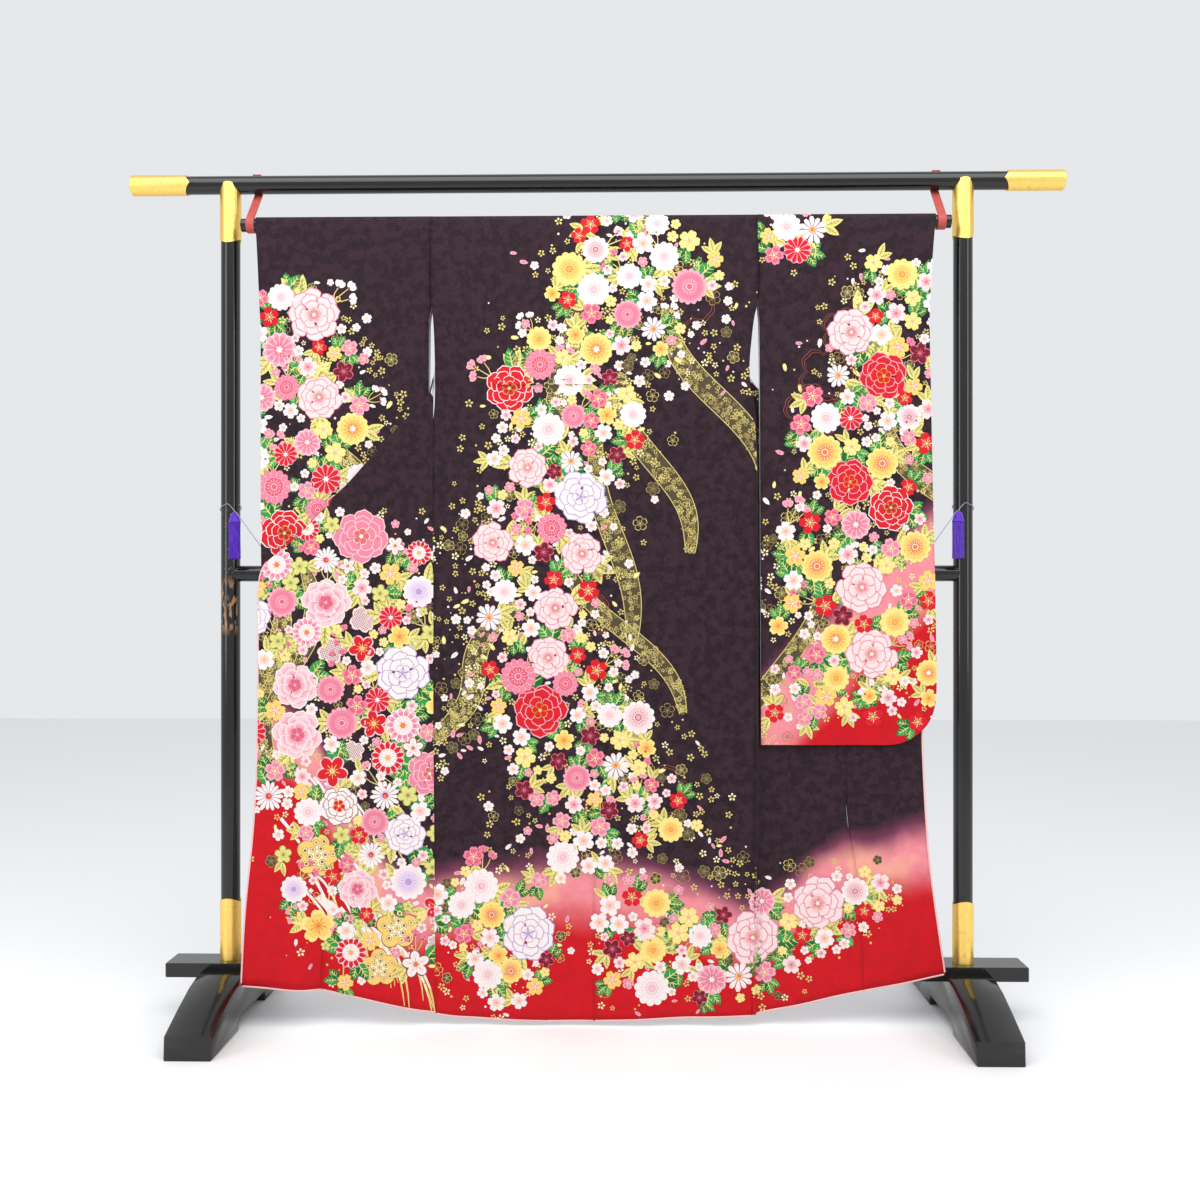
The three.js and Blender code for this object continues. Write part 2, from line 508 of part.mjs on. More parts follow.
// A strap bent over the rail's back and under the rod, in the Y-Z plane.
function hook() {
  const rail = { y: 0, z: RAIL.height, radius: RAIL.radius + GAP + HOOK.thickness / 2 };
  const rod = { y: ROD.y, z: ROD.height, radius: ROD.radius + GAP + HOOK.thickness / 2 };
  const apart = Math.hypot(rod.y - rail.y, rod.z - rail.z);
  const line = Math.atan2(rod.z - rail.z, rod.y - rail.y);
  const crossing = Math.acos((rail.radius + rod.radius) / apart);
  const leave = line + crossing;
  const steps = 12;
  const centre = [];
  for (let i = 0; i <= steps; i += 1) {
    const angle = THREE.MathUtils.lerp(rad(HOOK.startDeg), leave, i / steps);
    centre.push({ y: rail.y, z: rail.z, radius: rail.radius, angle, side: 1 });
  }
  for (let i = 0; i <= steps; i += 1) {
    const angle = THREE.MathUtils.lerp(leave + Math.PI, rad(360 + HOOK.endDeg), i / steps);
    centre.push({ y: rod.y, z: rod.z, radius: rod.radius, angle, side: -1 });
  }
  const offset = (at, shift) => {
    const radius = at.radius + at.side * shift;
    return new THREE.Vector2(at.y + radius * Math.cos(at.angle), at.z + radius * Math.sin(at.angle));
  };
  const outer = centre.map((at) => offset(at, HOOK.thickness / 2));
  const inner = centre.map((at) => offset(at, -HOOK.thickness / 2)).reverse();
  return extrudedAlongX([...outer, ...inner], HOOK.width, 0);
}

// The foot's heavy beam: flat on top, sloped to a low toe at each end, hollowed below.
function footBeam() {
  const notch = PLANK.depth / 2 + GAP;
  const notchFloor = PLANK.top - PLANK.thickness - GAP;
  const half = [
    [BEAM.arch - BEAM.archCorner, BEAM.archHeight], [BEAM.arch, BEAM.archHeight - BEAM.archCorner],
    [BEAM.arch + BEAM.splay, 0], [BEAM.knee + BEAM.splay, 0], [BEAM.knee, BEAM.kneeHeight],
    [BEAM.flat, BEAM.height], [notch, BEAM.height], [notch, notchFloor],
  ];
  const right = half.map(([y, z]) => new THREE.Vector2(y, z));
  const left = half.map(([y, z]) => new THREE.Vector2(-y, z)).reverse();
  return extrudedAlongX([...right, ...left], BEAM.width, BEVEL);
}

function footPlank() {
  const bottom = PLANK.top - PLANK.thickness;
  const half = PLANK.depth / 2;
  const outline = [
    new THREE.Vector2(-half, bottom), new THREE.Vector2(half, bottom),
    new THREE.Vector2(half, PLANK.top), new THREE.Vector2(-half, PLANK.top),
  ];
  return extrudedAlongX(outline, 2 * PLANK.reach, BEVEL);
}

function sideOfStand(name, side) {
  const postTop = RAIL.height - RAIL.radius - 2 * GAP;
  const post = cylinderAlongZ(POST.radius, PLANK.top + GAP, postTop, POST.sides);
  const place = (geometry) => geometry.translate(side * POST.x, 0, 0);
  addPiece(`post_${name}`, place(post), BLACK_LACQUER);
  addPiece(`post_top_fitting_${name}`, place(postTopFitting()), GILT);
  addPiece(`post_bottom_fitting_${name}`, place(postBottomFitting()), GILT);
  addPiece(`foot_beam_${name}`, place(footBeam()), BLACK_LACQUER);
  addPiece(`foot_plank_${name}`, place(footPlank()), BLACK_LACQUER);
  addPiece(`hook_${name}`, hook().translate(side * HOOK.x, 0, 0), RED_STRAP);
}

// ---------------------------------------------------------------- tassels and their cords

// Silk strands in rings, their roots fused into a bell-shaped bound head.
function tassel(side) {
  const { headLength, neckRadius, strandRadius, strandRings } = TASSEL;
  const skirt = TASSEL.radius - 1.5;
  const profile = [
    new THREE.Vector2(0, -headLength), new THREE.Vector2(skirt, -headLength),
    new THREE.Vector2(skirt + 0.5, -headLength * 0.75), new THREE.Vector2(neckRadius, -headLength * 0.2),
    new THREE.Vector2(neckRadius * 0.5, 0), new THREE.Vector2(0, 0),
  ];
  let solid = solidFrom(new THREE.LatheGeometry(profile, 20).rotateX(Math.PI / 2));
  const root = 2; // how far the strands reach up into the head
  const strandLength = TASSEL.length - headLength + root;
  strandRings.forEach((count, ring) => {
    const ringRadius = (skirt - strandRadius / 2) * ((ring + 0.55) / strandRings.length);
    for (let i = 0; i < count; i += 1) {
      const angle = (2 * Math.PI * (i + 0.37 * ring)) / count;
      const middle = root - headLength - strandLength / 2;
      const strand = new THREE.CylinderGeometry(strandRadius, strandRadius, strandLength, 4, 1);
      strand.rotateX(Math.PI / 2);
      strand.translate(ringRadius * Math.cos(angle), ringRadius * Math.sin(angle), middle);
      solid = solid.add(solidFrom(strand));
    }
  });
  return geometryFrom(solid).translate(side * TASSEL.x, TASSEL.y, TASSEL.top);
}

// The cord starts beside the tassel's head, goes once round the post, passes in front of the head
// and runs taut to the sleeve's edge. x counts outwards from the middle of the stand.
function tasselCord(side, sleeveEdge) {
  const loopRadius = POST.radius + 2 * GAP + CORD.radius;
  const loopPoints = 12;
  const path = [];
  for (let i = 0; i <= loopPoints; i += 1) {
    const angle = rad(205 - (300 * i) / loopPoints);
    const height = TASSEL.top + 10 + 8 * Math.sin(angle - rad(150));
    path.push(new THREE.Vector3(POST.x + loopRadius * Math.cos(angle), loopRadius * Math.sin(angle), height));
  }
  path.push(new THREE.Vector3(TASSEL.x - 1, TASSEL.y - 5, TASSEL.top + 2.5));
  path.push(new THREE.Vector3(TASSEL.x - 9, TASSEL.y - 7, TASSEL.top - 6));
  path.push(new THREE.Vector3(sleeveEdge.x, sleeveEdge.y, sleeveEdge.z));
  const curve = new THREE.CatmullRomCurve3(path.map((p) => new THREE.Vector3(side * p.x, p.y, p.z)));
  const section = new THREE.Shape();
  section.absarc(0, 0, CORD.radius, 0, 2 * Math.PI);
  return new THREE.ExtrudeGeometry(section, {
    steps: CORD.steps,
    curveSegments: CORD.sides / 2,
    bevelEnabled: false,
    extrudePath: curve,
  });
}

// ---------------------------------------------------------------- the garment

// The heights of the back's rows below the rod, closer together at the arm slit and the waist tuck.
const BACK_HEIGHTS = [
  1500, 1412, 1396, 1340, 1300, 1268, 1258, 1215, 1190, 1110, 1020, 930, 840, 750, 660, 570, 480, 400, 320, 240,
  160, 90, 30,
];
const TUCK = { height: 1262, proud: 1.2 }; // the cloth above the waist tuck stands a little nearer
const HEM_BLEND = 420; // height at which the slope of the hem starts to show in the rows

function backPanel(name, centreX) {
  const columns = 9;
  const saddleSteps = 8;
  const lowest = BACK_HEIGHTS[BACK_HEIGHTS.length - 1];
  const sideAt = (z) => along(BACK_SIDE[name], 'z', 'x', z);
  const rows = [];
  const across = (z, place) => {
    const row = [];
    for (let j = 0; j < columns; j += 1) {
      row.push(place(THREE.MathUtils.lerp(centreX, sideAt(z), j / (columns - 1))));
    }
    return row;
  };
  rows.push(across(SHOULDER, (x) => new THREE.Vector3(x, FAR_PLANE, SHOULDER_SEAM)));
  for (let i = 0; i <= saddleSteps; i += 1) {
    const angle = (Math.PI * i) / saddleSteps;
    const y = ROD.y + SADDLE * Math.cos(angle);
    const z = ROD.height + SADDLE * Math.sin(angle);
    rows.push(across(SHOULDER, (x) => new THREE.Vector3(x, y, z)));
  }
  for (const height of BACK_HEIGHTS) {
    const tuck = height > TUCK.height ? -TUCK.proud : 0;
    const drop = THREE.MathUtils.smoothstep(HEM_BLEND - height, 0, HEM_BLEND - lowest);
    rows.push(across(height, (x) => {
      const z = height + (along(BACK_HEM, 'x', 'z', x) - lowest) * drop;
      return new THREE.Vector3(x, NEAR_PLANE + tuck - foldDepth(BACK_FOLDS, x, height), z);
    }));
  }
  return wallGeometry(rows, WALL);
}

// A panel through a table of sections. turnWidth is the width in which its depth changes from that
// of its side edge to that of its free edge, and the columns stand closer together there. An edge
// that is sewn to an overlap panel, or to the front, keeps to their seam.
function sectionPanel(sections, folds, { steps, columns, turnWidth, sideSeam, edgeSeam }) {
  const side = new THREE.CatmullRomCurve3(sections.map((s) => new THREE.Vector3(s.sideX, s.sideY, s.sideZ)));
  const edge = new THREE.CatmullRomCurve3(sections.map((s) => new THREE.Vector3(s.edgeX, s.edgeY, s.edgeZ)));
  side.curveType = 'catmullrom';
  edge.curveType = 'catmullrom';
  side.tension = 0.3;
  edge.tension = 0.3;
  const rows = [];
  for (let i = 0; i <= steps; i += 1) {
    const from = ontoSeam(side.getPoint(i / steps), sideSeam);
    const to = ontoSeam(edge.getPoint(i / steps), edgeSeam);
    const width = from.distanceTo(to);
    const turn = Math.min(turnWidth / width, 1);
    const row = [];
    for (let j = 0; j < columns; j += 1) {
      const even = j / (columns - 1);
      const share = turn < 0.3 ? spreadOut(even, turn) : even;
      const point = from.clone().lerp(to, share);
      point.y = THREE.MathUtils.lerp(from.y, to.y, THREE.MathUtils.smoothstep(share, 0, turn));
      point.y -= foldDepth(folds, point.x, point.z);
      row.push(point);
    }
    rows.push(row);
  }
  return wallGeometry(rows, WALL);
}

// Below a seam's top, an edge lies just off it, on the side that shift names.
function ontoSeam(point, seam) {
  if (seam && point.z < seam.table[0].z - 10) {
    point.x = along(seam.table, 'z', 'x', point.z) + seam.shift * SEAM_SHARE;
  }
  return point;
}

// The first part of the columns is spent on the turn at the side seam.
function spreadOut(even, turn) {
  const spent = 0.4;
  return even < spent ? (turn * even) / spent : turn + ((1 - turn) * (even - spent)) / (1 - spent);
}

// The angles at which a sleeve's rows go up round the rod, from its level towards its top.
const SADDLE_STEPS = [20, 40, 60, 75, 85];

// A flat bag from the rod down: the outside less the hollow, which runs out at the cuff and at
// the whole body side. drawIn is how far in from the closed edges the two faces draw together,
// and past is how far the hollow runs out beyond an open edge.
function sleeve(name) {
  const shape = SLEEVE[name];
  const sign = name === 'right' ? 1 : -1;
  const drawIn = 90;
  const past = 30;
  const edgeHalf = WALL + 0.4;
  const middleAt = (z) => (along(shape.near, 'z', 'y', z) + along(shape.far, 'z', 'y', z)) / 2;
  const halfAt = (z) => (along(shape.far, 'z', 'y', z) - along(shape.near, 'z', 'y', z)) / 2;

  const outerEdgeAt = (z, inset) => {
    const straight = sign * along(shape.outer, 'z', 'x', z) - inset;
    const radius = shape.cornerRadius - inset;
    const rise = shape.bottom + shape.cornerRadius - z;
    return rise <= 0 ? straight : straight - radius + Math.sqrt(Math.max(0, radius * radius - rise * rise));
  };

  const halfThickness = (x, z) => {
    const fromEdge = THREE.MathUtils.smoothstep(outerEdgeAt(z, 0) - x, 0, drawIn);
    const open = THREE.MathUtils.smoothstep(z, CUFF_BOTTOM - 20, CUFF_BOTTOM + 60);
    const fromBottom = THREE.MathUtils.smoothstep(z - shape.bottom, 0, drawIn);
    return THREE.MathUtils.lerp(edgeHalf, halfAt(z), Math.max(fromEdge, open) * fromBottom);
  };

  const ring = (z, fromX, toX, inset) => {
    const columns = 8;
    const near = [];
    const far = [];
    for (let j = 0; j <= columns; j += 1) {
      const share = 1 - (1 - j / columns) ** 1.4;
      const x = THREE.MathUtils.lerp(fromX, toX, share);
      const onCloth = Math.min(x, outerEdgeAt(z, 0));
      const half = Math.max(halfThickness(onCloth, z) - inset, 0.3);
      const fold = foldDepth(shape.folds, sign * x, z) * fadeAtTop(z);
      near.push(new THREE.Vector3(sign * x, middleAt(z) - half - fold, z));
      far.push(new THREE.Vector3(sign * x, middleAt(z) + half, z));
    }
    return [...near, ...far.reverse()];
  };
  const fadeAtTop = (z) => THREE.MathUtils.smoothstep(ROD.height - 30 - z, 0, 200);

  const saddleRing = (degrees, fromX, toX, inset) => {
    const radius = SADDLE + WALL / 2 - inset;
    const z = ROD.height + radius * Math.sin(rad(degrees));
    const half = radius * Math.cos(rad(degrees));
    const level = ring(ROD.height, fromX, toX, 0);
    const count = level.length / 2;
    return level.map((p, i) => new THREE.Vector3(p.x, ROD.y + (i < count ? -half : half), z));
  };

  const loft = (rings) => {
    const points = rings.flat();
    const count = rings[0].length;
    const triangles = [];
    for (let i = 0; i < rings.length - 1; i += 1) {
      for (let k = 0; k < count; k += 1) {
        const here = i * count + k;
        const next = i * count + ((k + 1) % count);
        triangles.push([here, next, next + count], [here, next + count, here + count]);
      }
    }
    for (const [base, flip] of [[0, true], [(rings.length - 1) * count, false]]) {
      for (let k = 0; k < count / 2 - 1; k += 1) {
        const [a, b, c, d] = [base + k, base + k + 1, base + count - 2 - k, base + count - 1 - k];
        const pair = [[a, b, c], [a, c, d]];
        triangles.push(...(flip ? pair.map(([p, q, r]) => [p, r, q]) : pair));
      }
    }
    return solidFrom(closedGeometry(points, triangles));
  };

  const corner = shape.bottom + shape.cornerRadius;
  const cornerHeights = [2, 8, 20, 38, 60].map((rise) => shape.bottom + rise);
  const heights = [shape.bottom, ...cornerHeights, corner, 700, 780, 900, 1020, 1140, 1250, 1330,
    CUFF_BOTTOM - 6, CUFF_BOTTOM + 6, SLEEVE_JOIN + 6, 1470, 1530, ROD.height];
  const innerEdgeAt = (z) => sign * along(shape.inner, 'z', 'x', z);
  const outside = heights.map((z) => ring(z, innerEdgeAt(z), outerEdgeAt(z, 0), 0));
  for (const degrees of SADDLE_STEPS) {
    outside.push(saddleRing(degrees, innerEdgeAt(SHOULDER), outerEdgeAt(SHOULDER, 0), 0));
  }

  const closed = heights.filter((z) => z > shape.bottom && z < CUFF_BOTTOM);
  const hollow = [shape.bottom + 3.5, ...closed.slice(1), CUFF_BOTTOM - 0.5].map((z) => (
    ring(z, innerEdgeAt(z) - past, outerEdgeAt(z, 7), WALL)));
  const open = [CUFF_BOTTOM + 0.5, ...heights.filter((z) => z > CUFF_BOTTOM)];
  for (const z of open) {
    hollow.push(ring(z, innerEdgeAt(z) - past, outerEdgeAt(z, 0) + past, WALL));
  }
  for (const degrees of SADDLE_STEPS) {
    hollow.push(saddleRing(degrees, innerEdgeAt(SHOULDER) - past, outerEdgeAt(SHOULDER, 0) + past, WALL));
  }
  return geometryFrom(loft(outside).subtract(loft(hollow)));
}

// The collar's stretch across the back of the neck, hanging down behind the rod.
function collarBack() {
  const rows = [];
  const stretch = 8;
  for (let i = 0; i <= stretch; i += 1) {
    const side = THREE.MathUtils.lerp(-1, 1, i / stretch);
    rows.push([
      new THREE.Vector3(side * (NECK - GAP), FAR_PLANE, SHOULDER_SEAM - GAP),
      new THREE.Vector3((side * (NECK + COLLAR.backHalf)) / 2, FAR_PLANE, SHOULDER_SEAM - COLLAR.width / 2),
      new THREE.Vector3(side * (COLLAR.backHalf - GAP), FAR_PLANE, SHOULDER_SEAM - COLLAR.width),
    ]);
  }
  return wallGeometry(rows, WALL);
}

function garment() {
  addPiece('back_left', backPanel('left', -GAP / 2), DYED_SILK);
  addPiece('back_right', backPanel('right', GAP / 2), DYED_SILK);
  const frontLeft = sectionPanel(LEFT_FRONT, LEFT_FRONT_FOLDS, {
    steps: 44, columns: 8, turnWidth: 45, edgeSeam: { table: OKUMI_SEAM.left, shift: 1 },
  });
  const frontRight = sectionPanel(RIGHT_FRONT, RIGHT_FRONT_FOLDS, {
    steps: 39, columns: 11, turnWidth: 9, edgeSeam: { table: OKUMI_SEAM.right, shift: -1 },
  });
  const okumiLeft = sectionPanel(LEFT_OKUMI, LEFT_FRONT_FOLDS, {
    steps: 18, columns: 6, turnWidth: 40, sideSeam: { table: OKUMI_SEAM.left, shift: -1 },
  });
  const okumiRight = sectionPanel(RIGHT_OKUMI, RIGHT_FRONT_FOLDS, {
    steps: 16, columns: 6, turnWidth: 40, sideSeam: { table: OKUMI_SEAM.right, shift: 1 },
  });
  addPiece('front_left', frontLeft, DYED_SILK);
  addPiece('front_right', frontRight, DYED_SILK);
  addPiece('okumi_left', okumiLeft, DYED_SILK);
  addPiece('okumi_right', okumiRight, DYED_SILK);
  addPiece('sleeve_left', sleeve('left'), DYED_SILK);
  addPiece('sleeve_right', sleeve('right'), DYED_SILK);
  addPiece('collar_back', collarBack(), DYED_COLLAR);
  const band = { columns: 4, turnWidth: COLLAR.width };
  addPiece('collar_left', sectionPanel(LEFT_COLLAR, [], { steps: 8, ...band }), DYED_COLLAR);
  addPiece('collar_right', sectionPanel(RIGHT_COLLAR, [], { steps: 18, ...band }), DYED_COLLAR);
  addPiece('collar_left_end', sectionPanel(LEFT_COLLAR_END, [], { steps: 12, ...band }), DYED_COLLAR);
}

// ---------------------------------------------------------------- assembly

rails();
sideOfStand('left', -1);
sideOfStand('right', 1);
for (const [name, side] of [['left', -1], ['right', 1]]) {
  addPiece(`tassel_${name}`, tassel(side), PURPLE_SILK);
  addPiece(`tassel_cord_${name}`, tasselCord(side, CORD.sleeveEdge[name]), GREY_SILK);
}
garment();

export default part;
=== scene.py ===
"""A furisode hung open over the rod of a black lacquered kimono stand.

The garment's back is towards the viewer. The left front is drawn out in front of the left sleeve and
the right front behind the right sleeve. Metres, +Z up, +X to the viewer's right, +Y away. Sizes that are
multiplied by MM are in millimetres, and so is the pattern.
"""

import math
import random
from collections import namedtuple

import bmesh
import bpy
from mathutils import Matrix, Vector
from mathutils.bvhtree import BVHTree


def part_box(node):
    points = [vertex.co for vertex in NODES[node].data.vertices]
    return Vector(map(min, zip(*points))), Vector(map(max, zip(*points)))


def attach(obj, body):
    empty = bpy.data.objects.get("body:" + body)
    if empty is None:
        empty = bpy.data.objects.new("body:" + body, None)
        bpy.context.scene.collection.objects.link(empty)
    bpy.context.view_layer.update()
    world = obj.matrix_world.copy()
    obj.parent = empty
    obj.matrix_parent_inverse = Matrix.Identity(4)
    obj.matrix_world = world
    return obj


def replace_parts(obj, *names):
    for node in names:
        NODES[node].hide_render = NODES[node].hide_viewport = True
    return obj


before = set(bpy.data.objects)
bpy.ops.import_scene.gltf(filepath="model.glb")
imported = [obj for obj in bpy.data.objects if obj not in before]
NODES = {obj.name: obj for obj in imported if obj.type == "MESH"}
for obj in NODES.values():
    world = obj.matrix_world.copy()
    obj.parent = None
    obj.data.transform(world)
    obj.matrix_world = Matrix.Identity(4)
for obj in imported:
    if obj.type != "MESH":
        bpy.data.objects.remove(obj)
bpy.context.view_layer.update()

MM = 0.001


# ---------------------------------------------------------------- camera

CAMERA_PLACE = (0.054, -2.4, 0.835)
CAMERA_TURN = 1.04  # degrees to the left of straight ahead
CAMERA_LENS = 36  # on a sensor 36 mm wide


def stand_camera():
    camera = bpy.data.objects.new("camera", bpy.data.cameras.new("camera"))
    camera.data.sensor_width = 36
    camera.data.lens = CAMERA_LENS
    camera.location = CAMERA_PLACE
    camera.rotation_euler = (math.pi / 2, 0, math.radians(CAMERA_TURN))
    bpy.context.scene.collection.objects.link(camera)
    bpy.context.scene.camera = camera


stand_camera()


# ---------------------------------------------------------------- colours


def dye(red, green, blue):
    """A dye or paint given as it looks on the cloth, in 0 to 255, as the shader's linear colour."""

    def linear(value):
        value /= 255
        return value / 12.92 if value <= 0.04045 else ((value + 0.055) / 1.055) ** 2.4

    return (linear(red), linear(green), linear(blue), 1)


STUDIO_GAIN = 1.25  # how much brighter than a dye the lit cloth comes out


def cloth_dye(red, green, blue):
    """A dye as it looks on the lit cloth, in 0 to 255."""
    return (*(value / STUDIO_GAIN for value in dye(red, green, blue)[:3]), 1)


PLUM_BROWN = cloth_dye(58, 38, 48)
PLUM_DEEP = cloth_dye(30, 19, 25)
PLUM_VIOLET = cloth_dye(124, 62, 88)
BLOSSOM_PINK = cloth_dye(240, 146, 154)
BLOSSOM_DEEP = cloth_dye(228, 116, 130)
PEACH = cloth_dye(244, 178, 146)
CRIMSON = cloth_dye(208, 20, 32)
CRIMSON_DEEP = cloth_dye(176, 10, 24)
LINING_PINK = cloth_dye(252, 214, 214)
LINING_WHITE = cloth_dye(236, 232, 230)


# ---------------------------------------------------------------- shader arithmetic


class Wire:
    """A socket in a finish's nodes. Arithmetic on it adds the Math nodes that work it out."""

    def __init__(self, finish, socket):
        self.finish = finish
        self.socket = socket

    def maths(self, operation, *values):
        inputs = dict(enumerate(values))
        return self.finish.node("ShaderNodeMath", {"operation": operation}, inputs)

    def __add__(self, other):
        return self.maths("ADD", self, other)

    def __radd__(self, other):
        return self.maths("ADD", other, self)

    def __sub__(self, other):
        return self.maths("SUBTRACT", self, other)

    def __rsub__(self, other):
        return self.maths("SUBTRACT", other, self)

    def __mul__(self, other):
        return self.maths("MULTIPLY", self, other)

    def __rmul__(self, other):
        return self.maths("MULTIPLY", other, self)

    def __truediv__(self, other):
        return self.maths("DIVIDE", self, other)

    def __rtruediv__(self, other):
        return self.maths("DIVIDE", other, self)

    def __pow__(self, other):
        return self.maths("POWER", self, other)

    def __neg__(self):
        return self.maths("MULTIPLY", self, -1)

    def exp(self):
        return self.maths("EXPONENT", self)

    def step_up(self, low, high):
        """0 below low, 1 above high and smooth between them."""
        settings = {"interpolation_type": "SMOOTHSTEP"}
        return self.finish.node("ShaderNodeMapRange", settings, {0: self, 1: low, 2: high})


class Finish:
    """One material: a Principled shader and the nodes that drive it."""

    def __init__(self, name, **constants):
        self.material = bpy.data.materials.new(name)
        self.material.use_nodes = True
        self.tree = self.material.node_tree
        self.tree.nodes.clear()
        self.shader = self.tree.nodes.new("ShaderNodeBsdfPrincipled")
        output = self.tree.nodes.new("ShaderNodeOutputMaterial")
        self.tree.links.new(self.shader.outputs[0], output.inputs["Surface"])
        for socket, value in constants.items():
            self.shader.inputs[socket.replace("_", " ")].default_value = value
        if "Base_Color" in constants:
            self.material.diffuse_color = constants["Base_Color"]

    def plug(self, node, key, value):
        if isinstance(value, Wire):
            self.tree.links.new(value.socket, node.inputs[key])
        else:
            node.inputs[key].default_value = value

    def node(self, kind, settings=None, inputs=None, output=0):
        """A node of a kind, its settings made first, then the values or links of its sockets."""
        node = self.tree.nodes.new(kind)
        for setting, value in (settings or {}).items():
            setattr(node, setting, value)
        for key, value in (inputs or {}).items():
            self.plug(node, key, value)
        return Wire(self, node.outputs[output])

    def place(self):
        """The point of the piece, in the stand's own frame, and its x, y and z."""
        point = self.node("ShaderNodeTexCoord", output="Object")
        return point, *[self.node("ShaderNodeSeparateXYZ", None, {0: point}, i) for i in range(3)]

    def noise(self, point, scale, detail=3, stretch=None):
        if stretch:
            point = self.node("ShaderNodeVectorMath", {"operation": "MULTIPLY"}, {0: point, 1: stretch})
        return self.node("ShaderNodeTexNoise", None, {"Vector": point, "Scale": scale, "Detail": detail})

    def mix(self, share, colour, other):
        inputs = {0: share, 6: colour, 7: other}
        return self.node("ShaderNodeMix", {"data_type": "RGBA"}, inputs, 2)

    def drive(self, **sockets):
        for socket, value in sockets.items():
            self.plug(self.shader, socket.replace("_", " "), value)
        return self

    def bump(self, height, depth, strength=1.0):
        """A relief depth metres deep, worked out from a height of 0 to 1."""
        inputs = {"Height": height, "Distance": depth, "Strength": strength}
        self.plug(self.shader, "Normal", self.node("ShaderNodeBump", None, inputs))
        return self


# ---------------------------------------------------------------- finishes of the stand

# Where the left post's scraped stretch and the mottled one above it fade in and out.
SCRAPED_FROM, SCRAPED_TO = (0.76, 0.79), (0.85, 0.89)
MOTTLED_FROM, MOTTLED_TO = (0.86, 0.9), (0.97, 1.05)
SCRAPED_DEPTH = (-0.012, -0.006)  # only the post's front is scraped


def black_lacquer(name, scraped=False):
    """Polished black lacquer with a faint ripple; the left post has a scraped, mottled stretch."""
    finish = Finish(name, Specular_IOR_Level=0.35, Coat_Roughness=0.08)
    point, _, y, z = finish.place()
    ripple = finish.noise(point, 45)
    dust = finish.noise(point, 260, 5)
    colour = finish.mix(ripple, dye(8, 7, 6), dye(20, 18, 16))
    rough = 0.13 + dust * 0.1
    if scraped:
        band = z.step_up(*SCRAPED_FROM) * (1 - z.step_up(*SCRAPED_TO)) * (1 - y.step_up(*SCRAPED_DEPTH))
        flake = finish.noise(point, 120, 6, (1, 1, 0.35)).step_up(0.5, 0.56) * band
        mottle = finish.noise(point, 240, 6).step_up(0.58, 0.63)
        mottle = mottle * z.step_up(*MOTTLED_FROM) * (1 - z.step_up(*MOTTLED_TO))
        colour = finish.mix(flake, colour, dye(148, 108, 70))
        colour = finish.mix(mottle * 0.5, colour, dye(110, 104, 94))
        rough = rough + (flake + mottle) * 0.4
    finish.drive(Base_Color=colour, Roughness=rough, Coat_Weight=0.35)
    return finish.bump(ripple * 0.8 + dust * 0.2, 0.15 * MM).material


def gilt():
    """Thin gilded sheet: pale gold with a planished surface and darker rubbed spots."""
    finish = Finish("gilt", Metallic=1.0)
    point, _, _, _ = finish.place()
    planish = finish.noise(point, 190, 2)
    rubbed = finish.noise(point, 75, 5).step_up(0.58, 0.72)
    colour = finish.mix(planish, dye(255, 222, 130), dye(248, 200, 96))
    colour = finish.mix(rubbed * 0.35, colour, dye(205, 150, 70))
    finish.drive(Base_Color=colour, Roughness=0.3 + planish * 0.12 + rubbed * 0.12)
    return finish.bump(planish, 0.35 * MM, 0.7).material


def red_strap():
    """Muted red paint on the two hooks, with random patches of a paler tone that is the hooks' lit red: a
    painted highlight.
    """
    finish = Finish("red_strap", Specular_IOR_Level=0.4)
    point, _, _, _ = finish.place()
    lit_tone_patches = finish.noise(point, 90, 5)
    # The paler dye is the hooks' lit red, painted in as random patches of highlight over the darker red.
    colour = finish.mix(lit_tone_patches, dye(160, 58, 54), dye(186, 84, 78))
    finish.drive(Base_Color=colour, Roughness=0.42 + lit_tone_patches * 0.2)
    return finish.bump(finish.noise(point, 600, 2), 0.08 * MM).material


def silk_thread(name, deep, light, strands):
    """Silk strands that run down: fine streaks of two tones along the length."""
    finish = Finish(name, Sheen_Weight=0.35, Sheen_Roughness=0.4, Specular_IOR_Level=0.35)
    point, _, _, _ = finish.place()
    streak = finish.noise(point, strands, 3, (1, 1, 0.08))
    finish.drive(Base_Color=finish.mix(streak.step_up(0.35, 0.68), deep, light), Roughness=0.5 + streak * 0.2)
    return finish.bump(streak, 0.25 * MM, 0.8).material


# ---------------------------------------------------------------- finishes of the cloth

DAMASK_SCALE = 55
CREPE_SCALE = 1500

# A tide is the height at which a panel's dark ground gives way to the pink band above the hem.
HEM_TIDE = 0.285
# The swells of the body's tide: how far each lifts it, its middle in x and its width.
HEM_SWELLS = ((0.035, -0.02, 0.15), (-0.05, 0.3, 0.09), (0.06, 0.5, 0.1), (0.11, 0.68, 0.12))
OVERLAY_CLIMB = 0.34
CLIMB_FROM, CLIMB_TO = 0.36, 0.62  # to the left of the middle
SLEEVE_INNER = 0.328  # the sleeves' inner edges, at each side of the middle
LEFT_SLEEVE_TIDE, LEFT_SLEEVE_SLOPE = 0.60, 0.75
RIGHT_SLEEVE_TIDE, RIGHT_SLEEVE_SLOPE = 0.678, 0.984


def swell(x, centre, width):
    """A smooth hump along x, 1 at its centre."""
    return (-(((x - centre) / width) ** 2)).exp()


def hem_tide(x):
    """The tide of the body, which swells and dips along the hem."""
    height = HEM_TIDE
    for lift, centre, width in HEM_SWELLS:
        height = height + lift * swell(x, centre, width)
    return height


def overlay_tide(x):
    """The tide of the left front and its overlap panel, which climbs to the outer edge."""
    return HEM_TIDE + OVERLAY_CLIMB * (-1 * x).step_up(CLIMB_FROM, CLIMB_TO)


